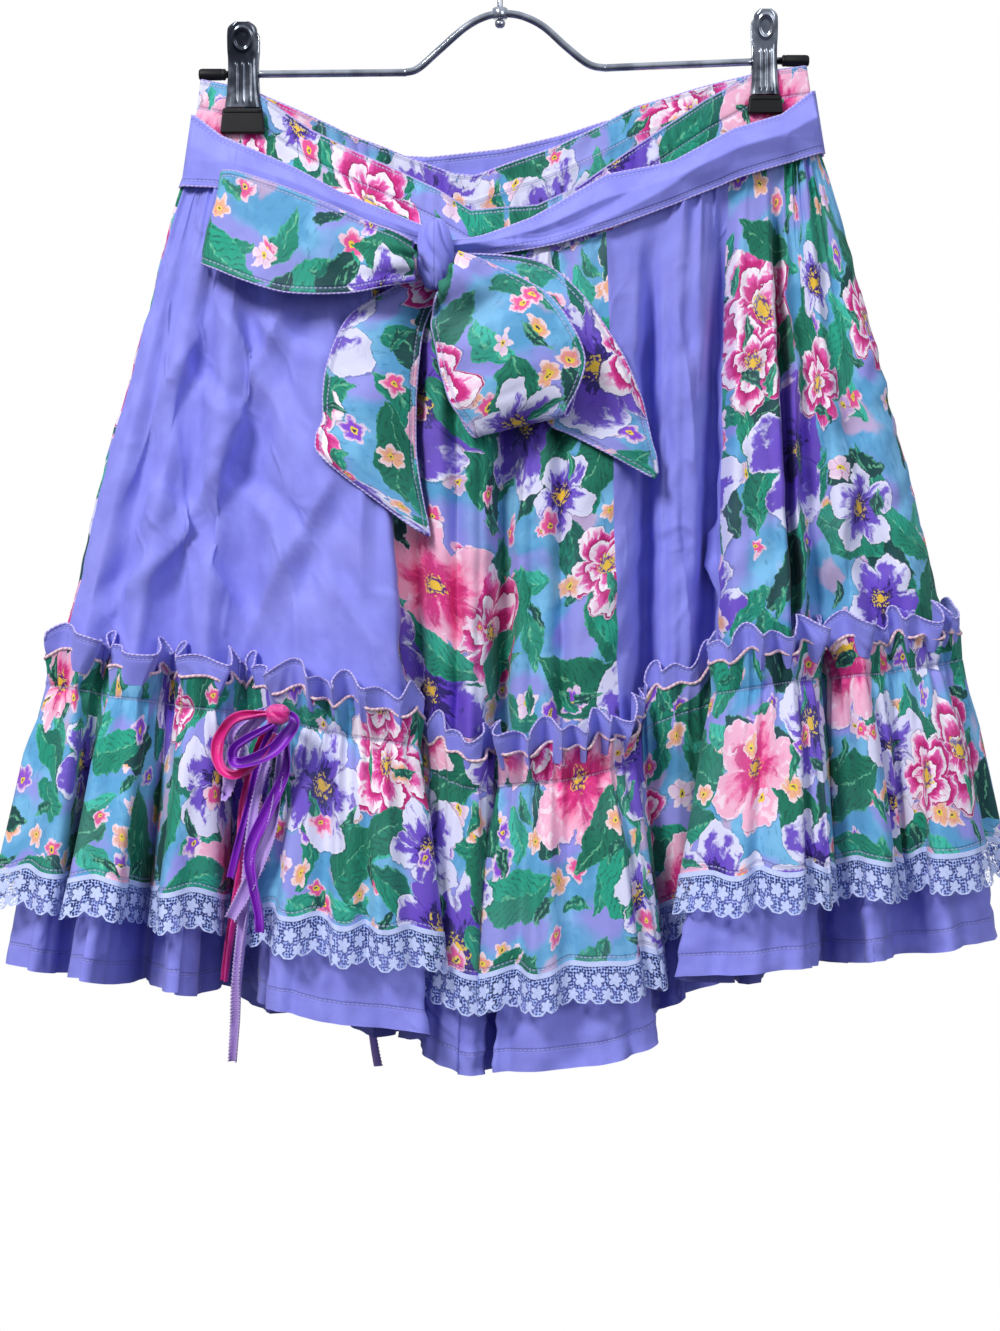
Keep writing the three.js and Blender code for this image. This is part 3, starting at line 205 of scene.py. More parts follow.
def fall(place, down):
    """The skirt's surface at a fold place. down is 0 at the waist seam, 1 at the stitches, 2 at the hem."""
    place, down = np.broadcast_arrays(np.asarray(place, float), np.asarray(down, float))
    wx, wy, wz = track("waist_x", place), track("waist_y", place), track("waist_z", place)
    sx, sy = track("seam_x", place), track("seam_y", place)
    hx, hy = track("hem_x", place), track("hem_y", beside_valleys(place))
    sz = wz - np.sqrt(PANEL_LENGTH**2 - (sx - wx) ** 2 - (sy - wy) ** 2)
    hz = sz - np.sqrt(TIER_LENGTH**2 - (hx - sx) ** 2 - (hy - sy) ** 2)
    upper, lower = np.clip(down, 0, 1), np.clip(down - 1, 0, 1)
    spread = upper**0.9
    x = wx + (sx - wx) * spread + (hx - sx) * lower
    y = wy + (sy - wy) * spread + (hy - sy) * lower
    z = wz + (sz - wz) * upper + (hz - sz) * lower
    return np.stack([x, y, z], -1)


def surface_normals(grid, closed=False):
    """Unit normals on a grid's outer side. Rows run down and columns to the right."""
    if closed:
        right = np.roll(grid, -1, 1) - np.roll(grid, 1, 1)
    else:
        right = np.gradient(grid, axis=1)
    down = np.gradient(grid, axis=0)
    normal = np.cross(down, right)
    return normal / np.maximum(np.linalg.norm(normal, axis=-1, keepdims=True), 1e-9)


def level(normal):
    """The normals laid flat, so that what follows them keeps its height."""
    flat = normal.copy()
    flat[..., 2] = 0
    return flat / np.maximum(np.linalg.norm(flat, axis=-1, keepdims=True), 1e-9)


def ripple(u, v, seed, count, shortest, longest):
    """Smooth uneven waves over (u, v) in mm, about -1 to 1."""
    rng = np.random.default_rng(seed)
    total = np.zeros(np.broadcast(u, v).shape)
    for _ in range(count):
        angle, phase = rng.uniform(0, 2 * math.pi, 2)
        length = math.exp(rng.uniform(math.log(shortest), math.log(longest)))
        total += np.sin(2 * math.pi * (u * math.cos(angle) + v * math.sin(angle)) / length + phase)
    return total / math.sqrt(count)


def ease(value, low, high):
    """0 under low, 1 above high, smooth in between."""
    t = np.clip((value - low) / (high - low), 0, 1)
    return t * t * (3 - 2 * t)


# ---------------------------------------------------------------- meshes

NO_STITCHES = 99.0  # a distance in mm at which no thread shows


def make_mesh(name, points, uv, material, thickness=0.0, lining=None, closed=False, thread=None):
    """A smooth grid mesh in metres, with a wall where thickness is given. uv: place in the cut in mm.
    thread: distance in mm from a line of stitches."""
    rows, cols = points.shape[:2]
    index = np.arange(rows * cols).reshape(rows, cols)
    if closed:
        index = np.concatenate([index, index[:, :1]], 1)
    a, b, c, d = index[:-1, :-1], index[1:, :-1], index[1:, 1:], index[:-1, 1:]
    faces = np.stack([a, b, c, d], -1).reshape(-1, 4)
    mesh = bpy.data.meshes.new(name)
    mesh.from_pydata((points.reshape(-1, 3) * MM).tolist(), [], faces.tolist())
    aside = np.broadcast_to(NO_STITCHES if thread is None else thread, points.shape[:2])
    loops = np.zeros(len(mesh.loops), int)
    mesh.loops.foreach_get("vertex_index", loops)
    for layer, values in (("cut", uv), ("thread", np.stack([uv[..., 0], aside], -1))):
        flat = np.ascontiguousarray(values).reshape(-1, 2) * MM
        mesh.uv_layers.new(name=layer).data.foreach_set("uv", flat[loops].ravel())
    mesh.polygons.foreach_set("use_smooth", [True] * len(mesh.polygons))
    mesh.materials.append(material)
    obj = bpy.data.objects.new(name, mesh)
    bpy.context.scene.collection.objects.link(obj)
    if thickness:
        if lining:
            mesh.materials.append(lining)
        wall = obj.modifiers.new("wall", "SOLIDIFY")
        wall.thickness = thickness * MM
        wall.offset = 0
        wall.use_even_offset = False
        wall.material_offset = 1 if lining else 0
    return obj


def cut_place(across, down):
    """A mesh's place in the cut, in mm: across the cloth and down it."""
    return np.stack(np.broadcast_arrays(across, down), -1)


def arc(points, axis):
    """Running length along an axis of a grid, in mm."""
    steps = np.linalg.norm(np.diff(points, axis=axis), axis=-1)
    return np.concatenate([np.zeros_like(np.take(steps, [0], axis)), np.cumsum(steps, axis)], axis)


def finish_piece(obj, node=None, with_pieces=()):
    """Ties a piece to the frame."""
    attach(obj, "root")
    if node:
        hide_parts(node)
    return obj


# ---------------------------------------------------------------- shader arithmetic


def colour_of(hexadecimal):
    """Linear RGBA of a display colour."""
    parts = [int(hexadecimal[i:i + 2], 16) / 255 for i in (0, 2, 4)]
    return (*[p / 12.92 if p < 0.04045 else ((p + 0.055) / 1.055) ** 2.4 for p in parts], 1.0)


def add_node(tree, kind, entries=(), **settings):
    """A new node with these settings. entries feed its inputs: each a Num, another node's output, a display
    colour or a plain value."""
    node = tree.nodes.new("ShaderNode" + kind)
    for key, value in settings.items():
        setattr(node, key, value)
    for key, value in dict(entries).items():
        feed(tree, node.inputs[key], value)
    return node


def feed(tree, entry, value):
    value = value.socket if isinstance(value, Num) else value
    if isinstance(value, bpy.types.NodeSocket):
        tree.links.new(value, entry)
    else:
        entry.default_value = colour_of(value) if isinstance(value, str) else value


class Num:
    """A number inside a material's node tree, with ordinary arithmetic."""

    def __init__(self, tree, socket):
        self.tree, self.socket = tree, socket

    def __neg__(self):
        return self * -1

    def between(self, low, high):
        """0 under low, 1 above high, smooth in between."""
        ends = {"Value": self, "From Min": low, "From Max": high}
        node = add_node(self.tree, "MapRange", ends, interpolation_type="SMOOTHSTEP")
        return Num(self.tree, node.outputs["Result"])


def arithmetic(operation):
    def result(number, *others):
        node = add_node(number.tree, "Math", enumerate((number, *others)), operation=operation)
        return Num(number.tree, node.outputs[0])
    return result


for _method, _operation in {
        "__add__": "ADD", "__radd__": "ADD", "__sub__": "SUBTRACT", "__mul__": "MULTIPLY",
        "__rmul__": "MULTIPLY", "__truediv__": "DIVIDE", "under": "LESS_THAN", "power": "POWER",
        "most": "MAXIMUM", "angle_to": "ARCTAN2", "sine": "SINE", "cosine": "COSINE", "size": "ABSOLUTE",
        "root": "SQRT", "fraction": "FRACT"}.items():
    setattr(Num, _method, arithmetic(_operation))


def flip(number):
    """1 where the number is 0, and 0 where it is 1."""
    return number * -1 + 1


class Look:
    """A material under construction. Lengths are in mm along the cut."""

    def __init__(self, name, roughness=0.8, sheen=0.0):
        self.material = bpy.data.materials.new(name)
        self.material.use_nodes = True
        self.tree = self.material.node_tree
        self.shader = self.tree.nodes["Principled BSDF"]
        self.set("Roughness", roughness)
        self.set("Sheen Weight", sheen)
        self.set("Sheen Roughness", 0.4)
        self.u, self.v = self.layer_mm("cut")
        self.normal = None

    def set(self, key, value):
        feed(self.tree, self.shader.inputs[key], value)

    def node(self, kind, entries=(), **settings):
        return add_node(self.tree, kind, entries, **settings)

    def split(self, kind, socket, count):
        """The parts of a vector or a colour."""
        outputs = self.node("Separate" + kind, {0: socket}).outputs
        return [Num(self.tree, outputs[k]) for k in range(count)]

    def layer_mm(self, layer):
        return [part * 1000 for part in self.split("XYZ", self.node("UVMap", uv_map=layer).outputs[0], 2)]

    def vector(self, x, y, z=0.0):
        return self.node("CombineXYZ", enumerate((x, y, z))).outputs[0]

    def noise(self, x, y, detail=2.0, rough=0.5, z=0.0):
        entries = {"Scale": 1, "Detail": detail, "Roughness": rough, "Vector": self.vector(x, y, z)}
        return Num(self.tree, self.node("TexNoise", entries, noise_dimensions="3D").outputs["Fac"])

    def voronoi(self, x, y, randomness=1.0, feature="F1"):
        entries = {"Scale": 1, "Randomness": randomness, "Vector": self.vector(x, y)}
        return self.node("TexVoronoi", entries, voronoi_dimensions="2D", feature=feature).outputs

    def spots(self, x, y, **settings):
        """Distance from the nearest cell's middle, or from its edge."""
        return Num(self.tree, self.voronoi(x, y, **settings)["Distance"])

    def cells(self, x, y, size, randomness):
        """Offsets in mm from the nearest cell's middle, and three random numbers of that cell."""
        px, py = x / size, y / size
        found = self.voronoi(px, py, randomness)
        middle_x, middle_y = self.split("XYZ", found["Position"], 2)
        return (px - middle_x) * size, (py - middle_y) * size, self.split("Color", found["Color"], 3)

    def paint(self, ground, *layers):
        """The ground with colours laid over it in turn. Each layer is a colour and its share."""
        for colour, share in layers:
            entries = {"A": ground, "B": colour, "Factor": share}
            ground = self.node("Mix", entries, data_type="RGBA").outputs["Result"]
        return ground

    def bump(self, height, mm, strength=1.0):
        entries = {"Distance": mm * MM, "Strength": strength, "Height": height}
        if self.normal is not None:
            entries["Normal"] = self.normal
        self.normal = self.node("Bump", entries).outputs[0]
        self.set("Normal", self.normal)

    def weave(self, pitch=0.42):
        """A plain weave's threads, crossing over and under."""
        across = (self.u * (2 * math.pi / pitch)).sine()
        along = (self.v * (2 * math.pi / pitch)).sine()
        slubs = self.noise(self.u * 0.9, self.v * 0.25) + self.noise(self.u * 0.25, self.v * 0.9, z=5.0)
        self.bump(across * along * 0.5 + slubs * 0.8, 0.05, 0.7)

    def crumple(self, size, mm, z=0.0):
        """Soft dents left by wear and by lying in a drawer."""
        wave = self.noise(self.u / size, self.v / size, 3, 0.55, z)
        self.bump(wave * 0.5 + (wave - 0.5).size() * 0.9, mm)

    def creases(self, size, mm, slant, z=0.0):
        """Sharp creases pressed into the cloth: straight ridges that meet at points and die away."""
        lean_u, lean_v = math.cos(slant), math.sin(slant)
        x = (self.u * lean_u + self.v * lean_v) / (size * 0.6)
        y = (self.v * lean_u - self.u * lean_v) / (size * 1.5)
        x = x + self.noise(self.u / 50, self.v / 50, 1, z=z + 1) * 1.6
        y = y + self.noise(self.u / 50, self.v / 50, 1, z=z + 2) * 1.6
        edge = self.spots(x, y, feature="DISTANCE_TO_EDGE")
        shown = self.noise(self.u / (size * 0.8), self.v / (size * 0.8), 1, z=z + 3).between(0.42, 0.62)
        self.bump(flip(edge.between(0.0, 0.22)).power(1.6) * shown, mm)

    def stitches(self, ground, thread):
        """Draws the thread of seams and top-stitching over a colour, in the dip that it pulls, with painted
        shade in that dip.
        """
        run, aside = self.layer_mm("thread")
        nearness = -aside.size()
        dash = ((run / STITCH_LENGTH).fraction() - 0.36).size().under(0.34)
        line = nearness.between(-0.62, -0.22) * dash
        self.bump(nearness.between(-1.6, -0.2) * -1 + line * 0.6, 0.35)
        # Painted shade: near the stitches the colour is darkened towards 3A3080, where the dip lies.
        dip_painted_shade = self.paint(ground, ("3A3080", 0.35))
        return self.paint(ground, (dip_painted_shade, nearness.between(-1.8, -0.4) * 0.6), (thread, line * 0.5))


# ---------------------------------------------------------------- cloth materials

STITCH_LENGTH = 2.7
FULL_TURN = 2 * math.pi
PETALS = 2.5  # half the petals of each flower, because a cosine's size has two peaks a turn
LACE_TOP = 104  # where the lace begins below the ruffle's first stitches
LACE_PERIOD = 10.4  # from one scallop to the next
NET_PITCH = 1.75


def plain_cotton():
    look = Look("plain_cotton", roughness=0.82, sheen=0.25)
    mottle = look.noise(look.u / 22, look.v / 22, 4, 0.6)
    fade = look.noise(look.u / 90, look.v / 90, z=3.0)
    fibre = look.noise(look.u * 1.6, look.v * 1.6, 2, 0.6, z=7.0)
    base = look.paint("8788E6", ("9497F2", mottle.between(0.3, 0.7)), ("A6A6F6", fade.between(0.5, 0.8) * 0.5),
                      ("7274D6", fibre.between(0.58, 0.75) * 0.2))
    look.set("Base Color", look.stitches(base, "B4B6FA"))
    look.set("Roughness", mottle * 0.12 + 0.74)
    look.weave()
    look.crumple(40, 0.5)
    look.crumple(11, 0.18, z=11.0)
    look.creases(52, 0.7, 0.6, z=15.0)
    return look.material


class Garden:
    """The print's leaves and flowers, each kind strewn over its own cells of the cloth."""

    def __init__(self, look, x, y, streak):
        self.look, self.x, self.y, self.streak = look, x, y, streak

    def petals(self, dx, dy, start):
        """Distance from a flower's middle, the turn round it, and a wave with one crest to each petal."""
        turn = dy.angle_to(dx) + start * 6.28
        return (dx * dx + dy * dy).root(), turn, (turn * PETALS).cosine()

    def leaves(self, ground, size, length, width, chance, shift, dark, light):
        look, streak = self.look, self.streak
        dx, dy, dice = look.cells(self.x + shift, self.y - shift * 0.7, size, 0.85)
        turn = dice[0] * FULL_TURN
        along = dx * turn.cosine() + dy * turn.sine()
        across = dy * turn.cosine() - dx * turn.sine()
        bent = across + along * along * (0.25 / length)
        reach, aside = along / length, bent.size()
        half = flip(reach * reach).most(0.0) * width * (reach * -0.25 + 1)
        inside = (half - aside).between(0.0, 0.5) * dice[1].under(chance)
        ribs = (along * 1.05 - aside * 1.5 + streak * 3).sine().between(0.25, 0.9)
        tone = look.paint(
            dark, (light, (dice[2] + streak * 0.7 - 0.35).between(0.35, 0.75)),
            (dark, bent.between(-0.2, 0.4) * 0.55),
            ("063A30", ribs * streak.between(0.38, 0.6) * 0.6),
            ("7FD8A8", (-aside).between(-0.9, -0.35) * streak.between(0.42, 0.56) * 0.6),
            ("5CC89C", (half - aside).between(1.6, 0.6) * streak.between(0.45, 0.55) * 0.6))
        return look.paint(ground, (tone, inside))

    def blossoms(self, ground, size, radius, chance, shift):
        look, streak = self.look, self.streak
        dx, dy, dice = look.cells(self.x - shift, self.y + shift, size, 0.9)
        away, _, swing = self.petals(dx, dy, dice[0])
        petal = swing.size()
        edge = (petal * 0.34 + 0.66) * radius * (dice[1] * 0.4 + 0.8)
        inside = (edge - away).between(0.0, 0.5) * dice[2].under(chance)
        tone = look.paint(
            "F0569C", ("F6B48C", dice[0].between(0.35, 0.4)), ("8A4AD8", dice[0].between(0.62, 0.66)),
            ("F2D2EC", dice[0].between(0.84, 0.87)),
            ("FBE6F2", (away / edge + streak * 0.8).between(0.95, 1.25) * 0.8),
            ("C01E6E", (-petal).between(-0.25, -0.02) * 0.65),
            ("F4D640", (-away).between(-2.3, -1.6)), ("3A1A5A", (-away).between(-1.0, -0.5)))
        return look.paint(ground, (tone, inside))

    def flowers(self, ground, size, radius, chance, shift):
        look = self.look
        dx, dy, dice = look.cells(self.x + shift, self.y + shift * 1.3, size, 0.72)
        away, turn, swing = self.petals(dx, dy, dice[0])
        petal = swing.size()
        ruffled = (turn * 9 + away * 0.15).sine() * 0.035
        edge = (petal.power(0.7) * 0.42 + 0.58 + ruffled) * radius * (dice[1] * 0.3 + 0.88)
        shown = dice[2].under(chance)
        reach = away / edge
        rays = look.noise(turn * 2.6, away / 15, 3, 0.65, z=dice[1] * 40)
        brush = look.noise(turn * 5.5, away / 9, 2, 0.6, z=dice[0] * 60)
        # Petals wound round one another, each white at its lip and magenta in its throat.
        wound = (reach * 2.5 + turn / FULL_TURN + swing * 0.16).fraction()
        rose = look.paint(
            "C81478", ("EC5CAE", (wound + brush * 0.9 - 0.45).between(0.15, 0.5)),
            ("F8D6EC", (wound + rays * 1.1 - 0.55).between(0.5, 0.78)),
            ("FBF2FA", (brush + wound * 0.4).between(0.72, 0.86)),
            ("8C0C5C", (-wound).between(-0.09, -0.02) * 0.8))
        # Pale petals with violet brush marks out of a dark throat.
        pansy = look.paint(
            "A6A2F2", ("E2E2FC", (reach + rays * 0.7 - dice[1] * 0.2).between(0.5, 0.85)),
            ("5E2CC4", (rays * 1.3 - reach * 0.7 + dice[1] * 0.25).between(0.18, 0.34) * 0.92),
            ("26146A", (brush * 1.2 - reach * 1.3).between(0.12, 0.24)),
            ("4A22A4", (-petal).between(-0.16, -0.02) * 0.7))
        pink = look.paint(
            "F4509E", ("FBB8D4", (reach + brush * 0.8).between(0.7, 1.15)),
            ("D01478", (rays * 1.1 - reach * 0.6).between(0.22, 0.36) * 0.8),
            ("FFE9F4", (brush * 0.9 + reach * 0.3).between(0.74, 0.84) * 0.8))
        # Which flower it is, its heart with stamens as dots, and its pale rim.
        speck = (-look.spots(dx / 2.1, dy / 2.1)).between(-0.38, -0.24)
        tone = look.paint(
            rose, (pansy, dice[0].between(0.27, 0.275)), (pink, dice[0].between(0.88, 0.885)),
            ("3E1A7C", (-away).between(-6.8, -4.6) * 0.85),
            ("F2D24C", (-away).between(-8.6, -6.6) * speck * 0.9),
            ("F6C83C", (-away).between(-3.4, -2.4)),
            ("F6F0FC", (edge - away).between(1.5, 0.5) * 0.7))
        halo = (edge + 1.3 - away).between(0.0, 0.8) * shown
        return look.paint(ground, ("1E3C5C", halo * 0.35), (tone, (edge - away).between(0.0, 0.6) * shown))


# The print's layers from the lowest up: leaves (cell, length, width, chance, shift, dark and light green)
# and blooms (cell, radius, chance, shift), in mm.
MID_GREENS, DEEP_GREENS = ("0A765C", "1AA486"), ("064848", "0F9678")
PRINT_LAYERS = [
    ("leaves", 40, 20, 8, 0.70, 400, "0C8A70", "3CC0A8"),
    ("blossoms", 24, 8.0, 0.50, 120),
    ("leaves", 74, 37, 17, 0.78, 90, *MID_GREENS),
    ("leaves", 56, 28, 11, 0.62, 260, *DEEP_GREENS),
    ("flowers", 94, 43, 0.74, 40),
    ("leaves", 66, 31, 13, 0.40, 770, *MID_GREENS),
    ("flowers", 76, 28, 0.42, 530),
    ("blossoms", 36, 8.0, 0.26, 330),
    ("leaves", 28, 11, 3.6, 0.32, 610, *DEEP_GREENS),
]


def print_cotton():
    """A dense painted garden of made-up roses, pansies, leaves and small blossoms."""
    look = Look("print_cotton", roughness=0.8, sheen=0.15)
    u, v = look.u, look.v
    # Hand-painted edges: the pattern is drawn on slightly bent paper.
    bend_u, bend_v = (look.noise(u / 30, v / 30, z=z) - 0.5 for z in (1.0, 21.0))
    fine_u, fine_v = (look.noise(u / 8, v / 8, 3, 0.6, z=z) - 0.5 for z in (31.0, 41.0))
    x = (u + bend_u * 16 + fine_u * 8) * 1.04
    y = (v + bend_v * 16 + fine_v * 8) * 1.04
    wash = look.noise(x / 34, y / 34, 3, 0.6, z=2.0)
    streak = look.noise(u / 3.2 + v / 9, v / 11 - u / 16, 3, 0.6, z=4.0)
    tint = look.noise(x / 48, y / 48, 1, z=9.0)
    base = look.paint(
        "5AA4D4",
        ("7CC0EA", wash.between(0.4, 0.62)),
        ("2F7CA4", streak.between(0.56, 0.7) * 0.45),
        ("9C92E8", tint.between(0.50, 0.60) * 0.85),
        ("E8AED0", (-tint).between(-0.36, -0.30) * 0.6),
    )
    garden = Garden(look, x, y, streak)
    for kind, *numbers in PRINT_LAYERS:
        base = getattr(garden, kind)(base, *numbers)
    fade = look.noise(u / 60, v / 60, z=51.0)
    fibre = look.noise(u * 1.7, v * 1.7, 2, 0.6, z=61.0)
    worn, slubs = fade.between(0.45, 0.8) * 0.1, fibre.between(0.58, 0.78) * 0.16
    base = look.paint(base, ("B8C8EC", worn), ("2A3C5C", slubs))
    look.set("Base Color", look.stitches(base, "C8CCF0"))
    look.set("Roughness", wash * 0.1 + 0.74)
    look.weave()
    look.crumple(18, 0.7)
    return look.material


def lace():
    """A narrow edging: a net of small holes with solid sprigs, and scallops along its foot."""
    look = Look("lace", roughness=0.75, sheen=0.3)
    u, depth = look.u, look.v * -1 - LACE_TOP
    wobble = look.noise(u / 9, depth / 9, z=1.0) - 0.5
    x, y = u + wobble * 1.2, depth + wobble * 1.2
    hole = (-look.spots(x / NET_PITCH, y / NET_PITCH, randomness=0.45)).between(-0.46, -0.36)

    def sprig(height, offset, radius):
        """A five-petalled sprig at this depth in each scallop, and the ring of net round it."""
        local = ((x / LACE_PERIOD + offset).fraction() - 0.5) * LACE_PERIOD
        up = y - height
        away = (local * local + up * up).root()
        edge = ((up.angle_to(local) * PETALS).cosine().size() * 0.45 + 0.55) * radius
        return (edge - away).between(-0.1, 0.3), (edge + 0.9 - away).between(0.0, 0.3)

    (body_a, halo_a), (body_b, halo_b) = sprig(9.5, 0.0, 4.4), sprig(17.5, 0.5, 3.6)
    sprigs = body_a.most(body_b)
    ring = (halo_a.most(halo_b) - sprigs).most(0.0)
    header = (-y).between(-2.4, -1.8)
    foot = ((u / LACE_PERIOD).fraction() * math.pi).sine() * 3.4 + 19.2
    border = (-(y - foot).size()).between(-1.0, -0.5)
    solid = sprigs.most(header).most(border)
    gaps = (hole.most(ring * 0.85) * flip(solid)).most((y - foot).between(0.7, 1.0))
    fibre = look.noise(u / 1.1, depth / 1.1, z=3.0)
    look.set("Base Color", look.paint("9DB6FF", ("C4D6FF", fibre.between(0.35, 0.65)),
                                      ("7F93F0", hole * flip(solid) * 0.5), ("D6DEFE", solid * 0.6)))
    look.bump(solid * 0.8 + look.noise(u * 1.3, depth * 1.3, z=5.0) * 0.5, 0.35)
    look.set("Alpha", gaps * -0.94 + 1)
    return look.material


def satin(name, colour, dark, light):
    look = Look(name, roughness=0.34, sheen=0.35)
    fibre = look.noise(look.u / 14, look.v * 5.5, 3, 0.6)
    wash = look.noise(look.u / 25, look.v / 6, z=4.0)
    selvedge = look.v.size().between(4.1, 4.5)
    look.set("Base Color", look.paint(dark, (colour, wash.between(0.3, 0.55)),
                                      (light, fibre.between(0.55, 0.75) * 0.45), (light, selvedge * 0.35)))
    look.set("Roughness", fibre * 0.22 + 0.26)
    look.set("Anisotropic", 0.5)
    look.bump(fibre, 0.06)
    look.bump((look.u * 5.2).sine() * 0.5 + look.noise(look.u / 5, look.v / 5), 0.08)
    return look.material


def piping(name, colour, light):
    look = Look(name, roughness=0.8, sheen=0.2)
    twist = (look.u * 2.2 + look.v * 1.6).sine()
    look.set("Base Color", look.paint(colour, (light, twist.between(-0.4, 0.8) * 0.7)))
    look.bump(twist, 0.12)
    return look.material


def surface_noise(look, scale, detail=3.0, stretch=(1, 1, 1)):
    """Noise in metres through the object, for pieces with no cut."""
    place = look.node("NewGeometry").outputs["Position"]
    scaled = look.node("VectorMath", {0: place, 1: stretch}, operation="MULTIPLY").outputs[0]
    node = look.node("TexNoise", {"Scale": scale, "Detail": detail, "Vector": scaled})
    return Num(look.tree, node.outputs["Fac"])


def chrome(name, dark, light):
    look = Look(name, roughness=0.12)
    look.set("Metallic", 1)
    smudge_and_painted_reflection, scratch = surface_noise(look, 60), surface_noise(look, 900, 4, (1, 1, 0.15))
    # Painted reflection: dark and light patches in the metal's colour stand in for the room seen in it; the
    # same noise varies the roughness as smudges do.
    look.set("Base Color", look.paint(dark, (light, smudge_and_painted_reflection.between(0.35, 0.65))))
    look.set("Roughness", smudge_and_painted_reflection * 0.16 + scratch * 0.10 + 0.02)
    look.bump(scratch, 0.02)
    return look.material


def rubber():
    look = Look("rubber", roughness=0.5)
    look.set("Specular IOR Level", 0.35)
    dust, grain = surface_noise(look, 120), surface_noise(look, 2600, 2)
    look.set("Base Color", look.paint("030304", ("0E0E11", dust.between(0.4, 0.75))))
    look.set("Roughness", dust * 0.25 + 0.38)
    look.bump(grain, 0.08)
    return look.material


MATERIALS = {
    "plain": plain_cotton(),
    "print": print_cotton(),
    "lace": lace(),
    "magenta": satin("satin_magenta", "E81E92", "B00C6C", "FA6CBE"),
    "purple": satin("satin_purple", "8A16C4", "5C0A92", "B258E6"),
    "pale": satin("satin_pale", "C4A4EA", "9C7CD0", "E6D4F8"),
    "piping": piping("pale_piping", "A99CE6", "DCD6F8"),
    "roll": piping("rolled_edge", "E4B4C4", "F4E8DC"),
    "chrome": chrome("chrome", "A8ADB6", "DCE0E6"),
    # The clips' plates: a darker grey, a painted reflection of dark surroundings.
    "pressed": chrome("pressed_chrome", "555A63", "C8CED6"),
    "rubber": rubber(),
}

# ---------------------------------------------------------------- gores

PER_FOLD = 20  # grid columns for each fold row
PANEL_STEPS = 72


def gathers(place, mm, seed, top=0.0, reach=(30, 150), count_per_fold=2.6, height=(0.5, 1.7)):
    """Fine folds that start at a gathered edge and fade as they open, in mm out."""
    rng = np.random.default_rng(seed)
    total = np.zeros(np.broadcast(place, mm).shape)
    low, high = float(place.min()), float(place.max())
    for _fold in range(int((high - low) * count_per_fold)):
        centre, drift = rng.uniform(low, high), rng.normal(0, 0.12)
        size, length = rng.uniform(*height), rng.uniform(*reach)
        width = rng.uniform(0.07, 0.17)
        share = np.clip((mm - top) / length, 0, 1)
        offset = (place - centre - drift * share) / (width * (1 + 1.2 * share))
        total += size * (1 - share) ** 1.3 * np.exp(-offset**2)
    return total


def creases(points, table):
    """Sharp ridges with a trough beside each, in mm out. table is as FRONT_CREASES."""
    total = np.zeros(points.shape[:2])
    x, z = points[..., 0], points[..., 2]
    for x0, z0, x1, z1, depth, width in table:
        length = math.hypot(x1 - x0, z1 - z0)
        ux, uz = (x1 - x0) / length, (z1 - z0) / length
        along = ((x - x0) * ux + (z - z0) * uz) / length
        across = ((x - x0) * uz - (z - z0) * ux) / width
        taper = np.sin(np.pi * np.clip(along, 0, 1)) ** 0.6
        bend = across + 0.5 * np.sin(3.1 * along + x0)
        # A sharp fold line, with a gentle face falling away on one side and a steep one on the other.
        ridge = np.where(bend > 0, np.exp(-np.abs(bend) / 1.5), np.exp(-np.abs(bend) / 0.45))
        trough = np.exp(-np.abs(bend + 1.5) ** 1.6)
        total += 1.3 * taper * depth * (1.1 * ridge - 0.9 * trough)
    return total


# Creases of the front, seen from the front: x and height of each end, depth, width.
FRONT_CREASES = [
    (-178, -190, -118, -322, 3.6, 7), (-166, -238, -222, -345, 3.0, 7), (-118, -205, -166, -335, 3.8, 8),
    (-106, -226, -76, -335, 3.0, 6), (-138, -276, -212, -402, 4.0, 9), (-84, -322, -156, -440, 3.6, 8),
    (-72, -268, -82, -408, 2.8, 6), (-208, -322, -146, -428, 3.0, 7), (-236, -418, -176, -344, 2.6, 6),
    (-132, -346, -116, -446, 3.0, 7), (-184, -296, -178, -436, 2.4, 8), (-102, -378, -60, -452, 2.6, 6),
    (-154, -226, -106, -266, 2.6, 5), (-192, -258, -146, -304, 2.4, 5), (-164, -326, -112, -378, 3.0, 6),
    (74, -260, 92, -330, 1.8, 4), (100, -230, 108, -330, 2.2, 4), (96, -350, 112, -440, 2.0, 4),
    (150, -200, 176, -300, 2.0, 5), (185, -260, 214, -380, 2.2, 6), (205, -330, 180, -420, 2.0, 5),
]
# Long folds of the front: x at the waist seam, x at the stitches, depth, width.
LONG_FOLDS = [
    (-54, -47, 13, 5), (-28, -27, 12, 4.5), (2, -4, 14, 5), (31, 33, 11, 4.5), (-12, -15, 4, 4),
    (17, 15, 4, 4), (84, 82, 20, 5), (94, 92, 3, 3.5), (104, 101, 3, 4), (127, 117, 24, 6.5),
    (155, 169, 24, 3.4), (138, 142, 3, 5),
    (-140, -165, 3.0, 8), (-160, -210, 3.6, 8), (-118, -125, 2.6, 8), (-95, -92, 2.4, 7),
    (170, 215, 4.0, 6), (146, 156, 2.6, 5), (176, 236, 3, 6),
]
DEEP_PLEAT = 16  # folds that are deeper have steep sides and a flat floor


def long_folds(points, down):
    """The LONG_FOLDS' depth below the surface, as a negative distance in mm."""
    total = np.zeros(points.shape[:2])
    for top, low, depth, width in LONG_FOLDS:
        centre = top + (low - top) * down
        steep = 3 if depth > DEEP_PLEAT else 1.5
        total -= depth * np.exp(-np.abs((points[..., 0] - centre) / width) ** steep) * ease(down, 0.0, 0.3)
    return total


PLACES = np.arange(TURN * PER_FOLD) / PER_FOLD
PANEL_DOWN = np.linspace(0, 1, PANEL_STEPS + 1) ** 1.15
TIER_STEPS = 34
CREASED = (0, 1, 8.3, 9.3)  # fold places between which the front's left gore is smooth but for its creases
FADE = (PANEL_LENGTH - 30, PANEL_LENGTH + 12)  # mm down at which the gores' folds end under the ruffle
INSET = 0.8  # the cloth lies this far inside the solid's face


